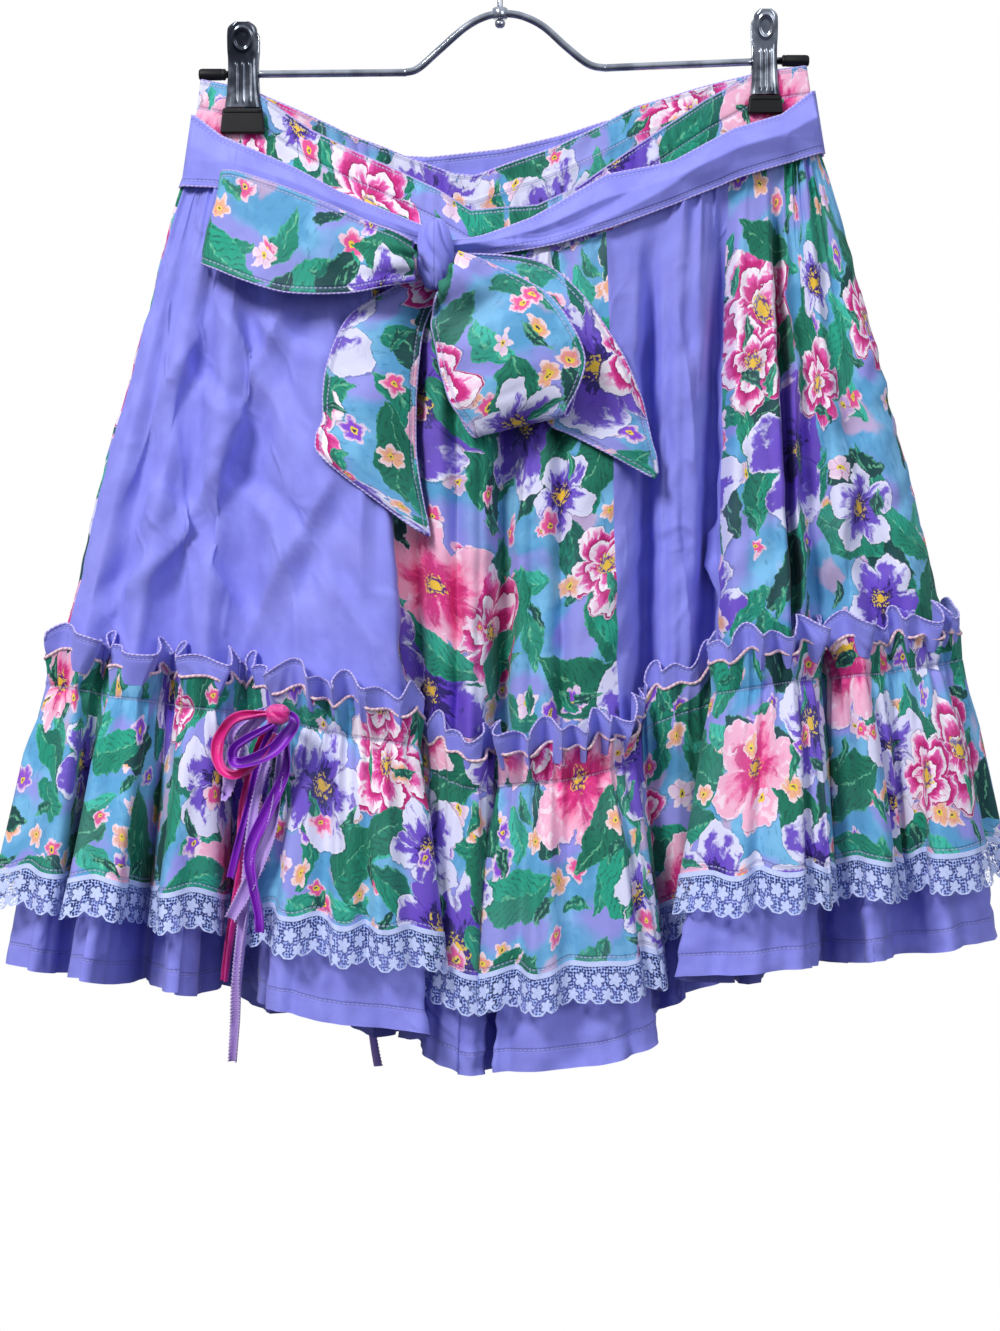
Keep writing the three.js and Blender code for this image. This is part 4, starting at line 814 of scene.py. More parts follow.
def skirt_grid(down):
    """The skirt's surface over the whole turn at these shares down, with folds and creases."""
    base = fall(PLACES[None, :], down[:, None])
    normal = surface_normals(base, closed=True)
    flat = level(normal)
    mm = np.where(down <= 1, down * PANEL_LENGTH, PANEL_LENGTH + (down - 1) * TIER_LENGTH)[:, None]
    front = flat[..., 1] < 0.15
    place = PLACES[None, :]
    smooth_cloth = ease(place, *CREASED[:2]) * (1 - ease(place, *CREASED[2:])) * ease(mm, 25, 80)
    calm = 1 - 0.9 * smooth_cloth
    out = gathers(place, mm, 3, height=(0.8, 2.6)) * calm
    out += gathers(place, mm, 4, reach=(90, 290), count_per_fold=0.9, height=(1.2, 3.2)) * calm
    fade = 1 - ease(mm, *FADE)
    out += np.where(front, creases(base, FRONT_CREASES), 0) * fade
    out += np.where(front, 0, creases(base * [-1, 1, 1], FRONT_CREASES)) * fade
    along = arc(base, 1)
    soft = ripple(along, mm, 7, 14, 28, 120) * 0.9 + ripple(along, mm, 8, 10, 14, 30) * 0.3
    out += soft * ease(mm, 10, 90) * (1 - 0.55 * smooth_cloth)
    # The tier is gathered too: folds that open out towards its hem, always inwards of its solid.
    run = arc(fall(place, np.array([[1.6]])), 1)
    open_ = ease(mm, PANEL_LENGTH, PANEL_LENGTH + 90)
    folds = 0.5 + 0.5 * np.sin(2 * math.pi * run / 34 + 2.1 * np.sin(run / 47) + 0.8 * np.sin(run / 19 + 1))
    small = 0.5 + 0.5 * np.sin(2 * math.pi * run / 13 + 1.9 * np.sin(run / 29) + mm / 60)
    out -= open_ * (5.5 * folds**1.5 + 1.3 * small)
    points = base + flat * (out - INSET)[..., None]
    points[..., 1] -= np.where(base[..., 1] < 0, long_folds(base, np.minimum(down, 1)[:, None]), 0) * fade
    return points, mm


def make_strip(name, surface, start, end, cloth, shift=0, thread=None):
    """The part of a surface between two fold places, as a cloth. surface is a grid and its mm down the cut."""
    grid, mm = surface
    points = grid[:, np.arange(round(start * PER_FOLD), round(end * PER_FOLD) + 1) % len(PLACES)]
    across = arc(points, 1)[-1]
    obj = make_mesh(name + "_cloth", points, cut_place(across[None, :] + shift, -mm), MATERIALS[cloth],
                    thread=thread)
    finish_piece(obj, name)


def make_gores():
    surface = skirt_grid(PANEL_DOWN)
    for number, (name, start, end, cloth) in enumerate(GORES):
        make_strip(name, surface, start, end, cloth, shift=700 * number)


def make_tier():
    grid, mm = skirt_grid(1 + np.linspace(0, 1, TIER_STEPS + 1))
    for half, start, end, _ in HALVES:
        make_strip(f"tier_{half}", (grid, mm), start, end, "plain",
                   thread=PANEL_LENGTH + TIER_LENGTH - HEM - mm)


# ---------------------------------------------------------------- ruffle, heading and lace

RUFFLE_PER_FOLD = 40
RUFFLE_CLEAR = CLOTH + 1.1  # how far the ruffle's cloth stands off at the least
# length down from the stitches, how far it stands off, and the height of its waves
RUFFLE_FORM = np.array([
    (-30, 5.4, 2.0), (-18, 3.4, 1.6), (-6, 1.6, 1.0), (0, 0.2, 0.4), (6, 1.0, 2.2), (38, 2.4, 6.6),
    (104, 3.4, 9.4), (127, 3.6, 9.8)], float)


def ruffle_surface(below, flutter=1.0, shift=0.0):
    """The ruffle's surface over the whole turn at these lengths below the stitches, in mm.
    Above the stitches its heading flutters; shift moves those waves along."""
    place = (np.arange(TURN * RUFFLE_PER_FOLD) / RUFFLE_PER_FOLD)[None, :]
    below = np.asarray(below, float)[:, None]
    down = np.where(below < 0, 1 + below / PANEL_LENGTH, 1 + below / TIER_LENGTH)
    base = fall(place, down)
    flat = level(surface_normals(base, closed=True))
    run = arc(fall(place, np.array([[1.0]])), 1)
    stand = np.interp(below, RUFFLE_FORM[:, 0], RUFFLE_FORM[:, 1])
    wave = np.interp(below, RUFFLE_FORM[:, 0], RUFFLE_FORM[:, 2])
    uneven = 0.72 + 0.28 * np.sin(place * 1.11) * np.cos(place * 0.339)
    room = np.maximum(0.06, track("room", place))
    drift = 0.16 * np.sin(place * 2.3) + 0.10 * np.sin(place * 5.1 + 1)
    turn = 2 * math.pi * 1.5 * (place + drift * ease(np.abs(below), 0, 40))
    lobes = 1 - (0.5 - 0.5 * np.cos(turn)) ** 1.35
    second = 0.5 + 0.5 * np.cos(turn * 1.93 + 1.4 * np.sin(place * 1.7))
    out = RUFFLE_CLEAR + room * (stand + 2 * wave * uneven * (0.8 * lobes + 0.2 * second))
    # Fine gathers at the stitches, opening downwards.
    gather = 2 * math.pi * run / 7.5 + 1.6 * np.sin(run / 13) + 1.1 * np.sin(run / 5.7 + 2)
    near = np.exp(-np.abs(below) / 20)
    out += (0.35 + 0.65 * room) * (2.6 * near + 0.2) * (1 - 1.6 * np.abs(np.sin(gather / 2)))
    wide = 2 * math.pi * run / 15 + 1.3 * np.sin(run / 21 + 1)
    open_ = np.exp(-((below - 30) / 34) ** 2) * (below > 0)
    out += room * open_ * 3.0 * (0.6 - np.abs(np.sin(wide / 2)) * 1.3)
    # The heading flutters out and in.
    rise = np.clip(-below / 27, 0, 1)
    swing = 2 * math.pi * run / 15 + 1.7 * np.sin(run / 23) + 1.2 * np.sin(run / 9.1 + 1) + shift
    loose = np.maximum(room, 0.3)
    out += flutter * loose * rise * (6.2 * np.sin(swing) + 4.4)
    points = base + flat * out[..., None]
    points[..., 2] += flutter * rise * (3.4 * np.cos(swing * 0.5 + 0.6) + 2.8 * np.cos(swing + 2.1) - 0.4)
    points[..., 2] -= ease(below, 20, LACE_TOP) * 5.0 * (lobes - 0.5) * room
    return points, place


RUFFLE_STITCHES = 101  # the second line of stitches, just above the lace
BAND_STITCHES = 28.5  # the facing's, above the ruffle's first stitches
BAND_FLUTTER, BAND_SHIFT, BAND_INSET = 1.15, 0.9, 1.5  # the facing's own waves, and how far behind the print
STRIPS = [  # piece, cloth, rows in mm below the ruffle's stitches
    ("ruffle", "print", [-19, -17, -14, -11, -8, -5.5, -3.5, -2, -0.8, 0, 0.8, 2, 3.5, 6, 9, 13, 18, 24, 31,
                         39, 48, 58, 68, 78, 87, 95, 101, 104.5]),
    ("heading_band", "plain", [-31, -30.2, -28, -25, -22, -19, -15, -10]),
    ("lace", "lace", [103, 105, 108, 111, 114, 117, 120, 123, 126.5]),
]


def make_ruffle():
    for kind, cloth, rows in STRIPS:
        band, below = kind == "heading_band", np.array(rows, float)[:, None]
        points, place = ruffle_surface(rows, *((BAND_FLUTTER, BAND_SHIFT) if band else ()))
        outwards = level(surface_normals(points, closed=True))
        if band:
            points = points - outwards * BAND_INSET
            thread = -(below + BAND_STITCHES)
        elif kind == "lace":
            points = points + outwards * (0.5 + 0.9 * ((below - rows[0]) / 24) * np.sin(place * 22))[..., None]
            thread = None
        else:
            thread = np.where(below < RUFFLE_STITCHES / 2, below, RUFFLE_STITCHES - below)
        for half, start, end, facing in HALVES:
            columns = np.arange(start * RUFFLE_PER_FOLD, end * RUFFLE_PER_FOLD + 1) % points.shape[1]
            part = points[:, columns]
            across = arc(part, 1).max(0)
            uv = cut_place(across[None, :] + (3000 if facing > 0 else 0), -below)
            obj = make_mesh(f"{kind}_{half}_cloth", part, uv, MATERIALS[cloth], thread=thread)
            finish_piece(obj, f"{kind}_{half}")
    edges = (("rolled_edge", STRIPS[0][2][0], 1.0, 0.0, 0.0, 0.95, "roll", "print_cotton"),
             ("facing_edge", STRIPS[1][2][0], BAND_FLUTTER, BAND_SHIFT, -BAND_INSET, 0.6, "piping",
              "plain_cotton"))
    for name, below, flutter, shift, back, radius, finish, slot in edges:
        points, _ = ruffle_surface([below, below + 1], flutter, shift)
        points = points + level(surface_normals(points, closed=True)) * back
        trim(name, points[0], radius, MATERIALS[finish], closed=True)


# ---------------------------------------------------------------- waistband and sash

def top_opening(x):
    """Half the room inside the waistband's top edge at x."""
    sag = np.maximum(0, 1 - (np.abs(x) / PINCH_TO) ** 2)
    return PINCH + TOP_OPEN * sag**2 * (3 - 2 * sag)


def side_share(place, reach):
    """1 at the skirt's two sides, 0 from this many folds away."""
    gap = np.minimum(np.abs(place), np.minimum(np.abs(place - RIGHT_SIDE), np.abs(place - TURN)))
    return 1 - ease(gap, 0, reach)


def band_point(place, share, facing):
    """The waistband's middle at a fold place, a share of the way from its top edge to its seam."""
    place, share = np.broadcast_arrays(np.asarray(place, float), np.asarray(share, float))
    seam = fall(place, 0.0)
    open_ = np.maximum(0, (share - PINCH_SHARE) / (1 - PINCH_SHARE))
    side = side_share(place, 0.5)
    top = facing * (top_opening(seam[..., 0]) * (1 - side) + SIDE_PINCH * side)
    low = seam[..., 1] * (1 - side) + facing * SIDE_PINCH * side
    top_z = waist_height(seam[..., 0], facing, 1)
    x = seam[..., 0] * (TOP_NARROWING + (1 - TOP_NARROWING) * share)
    return np.stack([x, top + (low - top) * open_, top_z + (seam[..., 2] - top_z) * share], -1)


BAND_STEPS = 44
BAND_PER_FOLD = 20
CASING = 16  # from the waistband's top edge down to its gathering stitches
BAND_PRINT = {"front": 5075, "back": 500}  # where each half lies along the print


def make_waistband():
    for half, start, end, facing in HALVES:
        place = np.linspace(start, end, (end - start) * BAND_PER_FOLD + 1)[None, :]
        share = np.linspace(0, 1, BAND_STEPS)[:, None]
        base = band_point(place, share, facing)
        flat = level(surface_normals(base))
        along = arc(base, 1)
        below = arc(base, 0)
        tucks = 2 * math.pi * along / 9 + 1.7 * np.sin(along / 15) + 1.2 * np.sin(along / 6.1)
        loose = np.minimum(1, np.abs(below - CASING) / 7) * np.minimum(1, below / 4)
        free = 0.25 + 0.75 * ease(top_opening(base[..., 0]), 3, 12)
        out = 1.25 * (0.5 - np.abs(np.sin(tucks / 2 + below / 30))) * loose * free
        out += ripple(along, below, 12, 10, 14, 40) * 0.5 * free
        out -= 0.7 * np.exp(-(((below - CASING) / 1.6) ** 2))
        points = base + flat * out[..., None]
        uv = cut_place(along[-1][None, :] * 1.25 + BAND_PRINT[half], -below)
        thread = np.where(below < 9, below - 2, CASING - below)
        obj = make_mesh(f"waistband_{half}_cloth", points, uv, MATERIALS["print"], 1.2, thread=thread)
        edge = trim(f"waistband_{half}_edge", points[0], 0.75, MATERIALS["piping"])
        finish_piece(obj, f"waistband_{half}", with_pieces=[edge])


# x, top and lower edge heights of the sash round the waist
SASH_LEFT = [(-184, -121, -163), (-165, -135, -165), (-121, -155, -175), (-96, -169, -185), (-44, -191, -202)]
SASH_RIGHT = [
    (-32, -200, -207), (-12, -195, -207), (16, -185, -203), (31, -177, -200), (60, -160, -191),
    (99, -151, -176), (134, -132, -161), (162, -123, -151), (184, -107, -143)]
SASH_BACK = [
    (-184, -121, -163), (-166, -137, -172), (-116, -139, -178), (-46, -141, -182), (0, -136, -176),
    (35, -128, -168), (62, -120, -160), (116, -124, -162), (140, -126, -162), (164, -124, -156),
    (184, -108, -143)]


SASH_PER_FOLD = 16
SASH_ROWS = 45
SASH_TWIST = {"sash_right": 7.5}  # how far the sash's middle turns out; the knot twists the right one
EDGE_STITCHES = 3  # from the edge of the sash and bow to their stitches


def edge_thread(across):
    """Distance in mm from the stitches along both edges of a strip, from its running width."""
    return np.minimum(across - EDGE_STITCHES, across[-1:] - EDGE_STITCHES - across)


def edge_piping(name, grid, radius):
    return [trim(f"{name}_edge_{k}", grid[row], radius, MATERIALS["piping"])
            for k, row in enumerate((0, -1))]


def make_sash(name, table, start, end, facing, x_from, x_to):
    table = np.array(table, float)
    place = np.linspace(start, end, (end - start) * SASH_PER_FOLD + 1)
    x = track("waist_x", place)
    place = place[(x >= x_from) & (x <= x_to)][None, :]
    x = track("waist_x", place)
    rise = np.linspace(1, 0, SASH_ROWS)[:, None]
    top, low = np.interp(x, table[:, 0], table[:, 1]), np.interp(x, table[:, 0], table[:, 2])
    z = low + (top - low) * rise
    seam = fall(place, 0.0)
    top_z = waist_height(seam[..., 0], facing, 1)
    share = (z - top_z) / (seam[..., 2] - top_z)
    on_band = band_point(place, np.clip(share, 0, 1), facing)
    below = fall(place, np.clip((seam[..., 2] - z) / PANEL_LENGTH, 0, 1))
    on = np.where((share <= 1)[..., None], on_band, below)
    side = side_share(place, 0.6)
    out = np.maximum(facing * on[..., 1], facing * seam[..., 1] * np.minimum(1, share * 1.2))
    out = out + np.maximum(2.2, 4.4 * share)
    out = out * (1 - side) + 2.6 * side
    px = on[..., 0] * 1.008 + np.sign(on[..., 0]) * 1.2 * side
    along = arc(np.stack(np.broadcast_arrays(px, facing * out, z), -1), 1)
    turned = (1 - np.abs(rise - 0.55) / 0.55).clip(0, 1) ** 1.2 * SASH_TWIST.get(name, 1.8)
    wrinkle = np.abs(np.sin(along / 26 + rise * 2.2 + 0.6 * np.sin(along / 11))) * 1.1
    soft = ripple(along, rise * 40, 21, 8, 24, 90) * 0.5
    out = out + (turned + wrinkle * 4 * rise * (1 - rise) + soft) * (1 - side)
    points = np.stack([px, facing * out, z], -1)
    deep, run = arc(points, 0), arc(points, 1)[SASH_ROWS // 2]
    lining = MATERIALS["print"] if facing < 0 else None
    obj = make_mesh(name + "_cloth", points, cut_place(run[None, :], -deep), MATERIALS["plain"], 1.0, lining,
                    thread=edge_thread(deep))
    finish_piece(obj, name,
                 with_pieces=edge_piping(name, points, 0.7))


# ---------------------------------------------------------------- what is laid on the skirt

FINER = 4  # steps of a laid line for each row of its solid
HANG_IN = 3  # how much nearer the skirt each step of a hanging ribbon may lie
SMOOTHER = 8  # rows of a laid piece's mesh for each row of its solid
BOW_STEPS = 2 * FINER
NEAR = (-4, 0, 4)  # where round a point the surface below it is felt for, in mm
LAID_WALL = 0.6  # half a laid solid's wall
NOWHERE = -1e9


def node_tree(names):
    """A search tree over the solids of these nodes."""
    points, faces = [], []
    for name in names:
        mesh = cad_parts[name].data
        first = len(points)
        points += [vertex.co.copy() for vertex in mesh.vertices]
        faces += [[first + i for i in polygon.vertices] for polygon in mesh.polygons]
    return BVHTree.FromPolygons(points, faces)


LAID_NODES = ("bow_", "ribbon_")
UNDER = [node_tree([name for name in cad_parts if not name.startswith(LAID_NODES)])]


def surface_out(x, z, facing):
    """Outermost distance in mm from the middle plane at (x, z), or None off the solids."""
    best = None
    for tree in UNDER:
        hit = tree.ray_cast(Vector((x * MM, facing * 0.5, z * MM)), Vector((0, -facing, 0)))[0]
        if hit is not None and (best is None or facing * hit.y / MM > best):
            best = facing * hit.y / MM
    return best


def rest_out(x, z, facing):
    """The same, for cloth that lies over all that is near the point."""
    found = [surface_out(x + dx, z + dz, facing) for dx in NEAR for dz in NEAR]
    return max([value for value in found if value is not None], default=NOWHERE)


def laid_lines(node, lines, facing=-1, hangs=False):
    """The middle of a laid solid as lines of points, from its edges' (x, z, stand), at the node's depth."""
    grid = []
    for line in lines:
        rests = [rest_out(x, z, facing) for x, z, _ in line]
        kept = []
        for i in range(0, len(line), FINER):
            under = max(rests[max(0, i - FINER):i + FINER + 1])
            above = kept[-1][1] - HANG_IN if kept and hangs else NOWHERE
            x, z, stand = line[i]
            kept.append((x, max(under + stand, above), z))
        grid.append([(x, facing * out, z) for x, out, z in kept])
    grid = np.array(grid)
    low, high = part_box(node)
    outermost = (-low.y if facing < 0 else high.y) / MM
    grid[..., 1] += facing * (outermost - LAID_WALL - (facing * grid[..., 1]).max())
    UNDER.append(node_tree([node]))
    return grid


def smooth_rows(table, steps):
    """A smooth curve through a table's rows, with this many steps from row to row."""
    table = np.array(table, float)
    place = np.arange((len(table) - 1) * steps + 1) / steps
    return np.stack([smooth(table[:, k], place, False) for k in range(table.shape[1])], 1)


def refine(lines, along, across):
    """A finer grid through a few lines of points; rows stay lines, columns run along them."""
    longer = np.stack([smooth_rows(line, along) for line in lines])
    place = np.linspace(0, len(lines) - 1, across + 1)
    return np.stack([np.stack([smooth(longer[:, c, k], place, False) for k in range(3)], 1)
                     for c in range(longer.shape[1])], 1)


def tube_mesh(name, path, radius, material, sides=10, closed=False):
    """A round tube in metres along a path in mm. radius may differ from point to point."""
    path = np.asarray(path, float)
    radius = np.broadcast_to(np.asarray(radius, float), (len(path),))
    tangent = np.gradient(path, axis=0) if not closed else np.roll(path, -1, 0) - np.roll(path, 1, 0)
    tangent /= np.maximum(np.linalg.norm(tangent, axis=1, keepdims=True), 1e-9)
    side = np.zeros_like(path)
    previous = np.array([0.0, 1.0, 0.0])
    for i, direction in enumerate(tangent):
        previous = previous - direction * previous.dot(direction)
        if np.linalg.norm(previous) < 1e-6:
            previous = np.cross(direction, [0.3, 0.5, 0.8])
        previous /= np.linalg.norm(previous)
        side[i] = previous
    lift = np.cross(tangent, side)
    angle = np.linspace(0, 2 * math.pi, sides, endpoint=False)
    ring = (path[:, None] + radius[:, None, None] * (np.cos(angle)[None, :, None] * side[:, None]
            + np.sin(angle)[None, :, None] * lift[:, None]))
    if closed:
        ring = np.concatenate([ring, ring[:1]], 0)
    length = arc(ring, 0)[:, :1]
    obj = make_mesh(name, ring, cut_place(length, angle[None, :] * radius.mean()), material, closed=True)
    if not closed:
        mesh = bmesh.new()
        mesh.from_mesh(obj.data)
        mesh.verts.ensure_lookup_table()
        mesh.faces.new([mesh.verts[i] for i in range(sides)])
        mesh.faces.new([mesh.verts[i] for i in reversed(range((len(path) - 1) * sides, len(path) * sides))])
        bmesh.ops.recalc_face_normals(mesh, faces=mesh.faces)
        mesh.to_mesh(obj.data)
        mesh.free()
    return obj


def trim(name, path, radius, material, closed=False, sides=6):
    """A piping or rolled edge along a cloth's edge."""
    return finish_piece(tube_mesh(name, path, radius, material, sides=sides, closed=closed))


# ---------------------------------------------------------------- bow

# Edges of each strip from the knot outwards: x, z of one edge, x, z of the other, stand, curl.
BOW_TAIL_LEFT = [
    (-38, -215, -33, -224, 4, 1), (-60, -224, -41, -236, 4, 3), (-88, -242, -47, -255, 3, 4),
    (-101, -272, -50, -285, 3, 4), (-103, -300, -50, -318, 3, 3), (-103, -322, -46, -346, 3, 2),
    (-45, -365.5, -42, -367, 3, 0)]
BOW_TAIL_RIGHT = [
    (-33, -207, -36, -219, 3, 1), (2, -208, -12, -234, 4, 3), (30, -216, 0, -258, 4, 4),
    (56, -245, 14, -284, 3, 4), (73, -275, 26, -303, 3, 3), (81, -297, 38, -309, 3, 1),
    (88, -330, 86, -333.5, 3, 0)]
BOW_LOOP_RIGHT = [
    (-25, -211, -35, -233, 3, 1), (-2, -224, -38, -244, 5, 3), (28, -238, -36, -266, 6, 5),
    (42, -266, -28, -292, 6, 4), (38, -294, -20, -308, 8, 1), (34, -299, -16, -311, 13, 0),
    (36, -294, -18, -308, 18, 1), (45, -268, -30, -292, 21, 4), (26, -234, -38, -264, 20, 5),
    (-3, -217, -40, -244, 17, 3), (-25, -208, -37, -231, 13, 0)]
BOW_LOOP_LEFT = [
    (-51, -201, -50, -224, 3, 0), (-80, -188, -78, -226, 4, 0), (-120, -174, -118, -226, 4, 0),
    (-152, -161, -160, -213, 4, 0), (-160, -160, -171, -211, 7, 0), (-161, -159, -173, -210, 11, 0),
    (-152, -160, -163, -215, 15, 2), (-118, -173, -126, -229, 19, 4), (-78, -190, -84, -230, 19, 4),
    (-51, -204, -50, -225, 14, 0)]


BOW_ACROSS = 26  # cells of a bow strip's mesh across it


def make_bow_strip(node, rows, offset, loop):
    """A loop or tail of the bow. offset is where it lies along the print."""
    table = smooth_rows(rows, BOW_STEPS)
    lines = []
    for share in (0, 0.5, 1):
        x = table[:, 0] + (table[:, 2] - table[:, 0]) * share
        z = table[:, 1] + (table[:, 3] - table[:, 1]) * share
        lines.append(np.stack([x, z, table[:, 4] + table[:, 5] * (share == 0.5)], 1))
    grid = refine(laid_lines(node, lines), SMOOTHER, BOW_ACROSS)
    along, across = arc(grid, 1), arc(grid, 0)
    normal = surface_normals(grid)
    if normal[..., 1].mean() > 0 and not loop:
        normal = -normal
    length = along[BOW_ACROSS // 2][None, :]
    share = np.linspace(0, 1, grid.shape[0])[:, None]
    from_knot = np.minimum(length, length[0, -1] - length) if loop else length
    pleats = np.cos(2 * math.pi * 3.1 * share + 0.7) * 1.5 * np.exp(-from_knot / 22)
    pleats += np.cos(2 * math.pi * 5.3 * share + 2.1) * 0.5 * np.exp(-from_knot / 14)
    soft = ripple(length, share * 50, seed_of(node), 9, 22, 70) * 0.8
    soft += ripple(length, share * 50, seed_of(node) + 1, 8, 7, 16) * 0.16
    grid = grid + normal * (pleats + soft * ease(from_knot, 0, 25))[..., None]
    uv = cut_place(length + offset, across.max(0)[None, :] * (share - 0.5))
    obj = make_mesh(node + "_cloth", grid, uv, MATERIALS["print"], 0.9, MATERIALS["print"],
                    thread=edge_thread(across))
    edges = edge_piping(node, grid[:, :-1], 0.65)
    for edge in edges:
        edge.parent = obj
    finish_piece(obj, node,
                 with_pieces=edges)


def seed_of(name):
    """A seed for random waves that differs from name to name."""
    return sum((i + 1) * ord(letter) for i, letter in enumerate(name)) % 9973


def make_knot(node, material, twist, folds, depth):
    """A tied lump: an egg with folds that wind round it."""
    low, high = (np.array(corner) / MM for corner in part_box(node))
    centre, half = (low + high) / 2, (high - low) / 2
    height = np.linspace(-0.5 * math.pi, 0.5 * math.pi, 49)[:, None]
    angle = np.linspace(0, 2 * math.pi, 97)[None, :-1]
    winding = angle + twist * np.sin(height) + 0.25 * np.sin(3 * height + 1)
    fold = np.abs(np.sin(folds * winding / 2)) ** 0.7
    fine = np.sin(folds * 2.7 * winding + 1.3)
    r = 1 + depth * (fold - 0.75) * np.cos(height) + 0.02 * fine * np.cos(height)
    round_ = np.sign(np.cos(height)) * np.abs(np.cos(height)) ** 0.75
    x = centre[0] + half[0] * r * round_ * np.sin(angle)
    y = centre[1] - half[1] * r * round_ * np.cos(angle)
    z = centre[2] + half[2] * np.sin(height) * (1 + 0.02 * fine) + 0 * angle
    grid = np.stack(np.broadcast_arrays(x, y, z), -1)
    obj = make_mesh(node + "_cloth", grid, cut_place(angle * 12, height * 16), material, closed=True)
    finish_piece(obj, node)


# ---------------------------------------------------------------- ribbons

RIBBON_WIDTH = 10
RIBBONS = [  # node, colour, (x, z, stand) down its middle from the knot
    ("ribbon_magenta_tail", "magenta", [
        (-128, -468, 2.5), (-137, -486, 2), (-146, -520, 2.5), (-148, -560, 2.5), (-153, -590, 2.2),
        (-157, -619, 2.2)]),
    ("ribbon_purple_tail_short", "purple", [
        (-127, -470, 2.5), (-138, -500, 2.5), (-146, -534, 2.5), (-152, -560, 2.5)]),
    ("ribbon_pale_tail_long", "pale", [
        (-128, -478, 2.5), (-138, -514, 2.5), (-142, -560, 2.5), (-146, -600, 4), (-148, -622, 4.5),
        (-149, -640, 4), (-151, -663, 3)]),
    ("ribbon_pale_tail_short", "pale", [
        (-124, -478, 2.5), (-127, -520, 2.5), (-137, -552, 2.5), (-151, -582, 2.5)]),
    ("ribbon_purple_tail", "purple", [
        (-122, -476, 2.5), (-122, -500, 2.5), (-138, -536, 2.5), (-141, -552, 2.5), (-135, -576, 2.5),
        (-134, -588, 2.5)]),
    ("ribbon_pale_loop", "pale", [
        (-133, -466, 2), (-152, -478, 2), (-159, -500, 3), (-156, -514, 6), (-151, -500, 9), (-144, -480, 9),
        (-130, -467, 6)]),
    ("ribbon_magenta_loop", "magenta", [
        (-129, -468, 2), (-150, -471, 2), (-161, -487, 4), (-154, -499, 7), (-140, -497, 8),
        (-127, -478, 6)]),
    ("ribbon_purple_loop", "purple", [
        (-126, -466, 2), (-118, -472, 3), (-128, -487, 4), (-147, -494, 6), (-148, -486, 9),
        (-134, -477, 10), (-121, -470, 7)]),
    ("ribbon_pale_behind", "pale", [(-84, -600, 2), (-82, -650, 2), (-77, -679, 2)]),
]
RIBBON_SMOOTHER, RIBBON_ACROSS = 20, 8  # rows for each row of the solid, and cells across
PICOT = 2.1  # length of one loop along a pale ribbon's edge


def make_ribbon(node, colour, path):
    facing = 1 if node.endswith("behind") else -1
    table = smooth_rows(path, BOW_STEPS)
    step = np.gradient(table[:, :2], axis=0)
    step /= np.linalg.norm(step, axis=1, keepdims=True)
    lines = []
    for side in (1, -1):
        x = table[:, 0] + side * step[:, 1] * RIBBON_WIDTH / 2
        z = table[:, 1] - side * step[:, 0] * RIBBON_WIDTH / 2
        lines.append(np.stack([x, z, table[:, 2]], 1))
    hangs = "tail" in node or facing > 0
    grid = refine(laid_lines(node, lines, facing, hangs), RIBBON_SMOOTHER, RIBBON_ACROSS)
    middle = slice(RIBBON_ACROSS // 2, RIBBON_ACROSS // 2 + 1)
    along = arc(grid, 1)
    length, share = along[middle], np.linspace(-1, 1, grid.shape[0])[:, None]
    seed = seed_of(node)
    # Rolled up along its length, tightest in the knot, so that it shows narrower than it is.
    from_knot = np.minimum(length, length[0, -1] - length) if "loop" in node else length
    roll = 1.7 + (1.1 + 0.5 * np.sin(length / 15 + seed)) * ease(from_knot, 0, 26)
    normal = surface_normals(grid)
    first = normal[:, :max(2, grid.shape[1] // 4), 1].mean() * facing
    normal = normal[middle] * (1 if first > 0 else -1)
    sideways = grid[-1:] - grid[:1]
    sideways /= np.linalg.norm(sideways, axis=-1, keepdims=True)
    turn = share * (RIBBON_WIDTH / 2) / roll
    grid = grid[middle] + sideways * (roll * np.sin(turn))[..., None]
    grid = grid + normal * (roll * (1 - np.cos(turn)))[..., None]
    normal = surface_normals(grid)
    curl = 0.5 * np.sin(length / 23 + seed) + 0.3 * share * np.sin(length / 31 + seed * 0.7)
    grid = grid + normal * (curl * ease(length, 0, 12))[..., None]
    if colour == "pale":
        direction = grid[-1] - grid[0]
        direction /= np.linalg.norm(direction, axis=-1, keepdims=True)
        loops = (0.5 + 0.5 * np.cos(2 * math.pi * length[0] / PICOT))[:, None] * 1.1
        grid[-1] += direction * loops
        grid[0] -= direction * loops
    obj = make_mesh(node + "_satin", grid, cut_place(length, share * RIBBON_WIDTH / 2), MATERIALS[colour], 0.4)
    width = max(RIBBON_WIDTH, arc(grid, 0)[-1].mean())
    finish_piece(obj, node)


# ---------------------------------------------------------------- hanger

# x and height of the wire's middle, from its left end to its right
HANGER_WIRE = np.array([
    (-161, -97.3), (-67, -96.3), (-57, -96), (-49.5, -93.6), (-38.5, -84), (-23, -70.4), (-11, -63.8),
    (0, -62), (11, -63.6), (23, -69.6), (36, -81.2), (48.5, -91), (58, -93.4), (69, -93), (161, -89.3)])
WIRE_R = 2.2
HOOK_R = 1.6
HOOK_BEND_R = 19
SHANK_X = -2.3
COLLAR = [(-3.2, 1.9), (-3.2, 3.9), (-2.8, 4.4), (2.8, 4.4), (3.2, 3.9), (3.2, 1.9)]  # height, radius
SHANK = [(-70.5, 1.2), (-69.5, 2.6), (-68.3, 3.05), (-67, 3.1), (-66, 2.4), (-65.6, HOOK_R), (-60, HOOK_R),
         (-54, HOOK_R)]  # height, radius: a ball end under the collar, then the wire
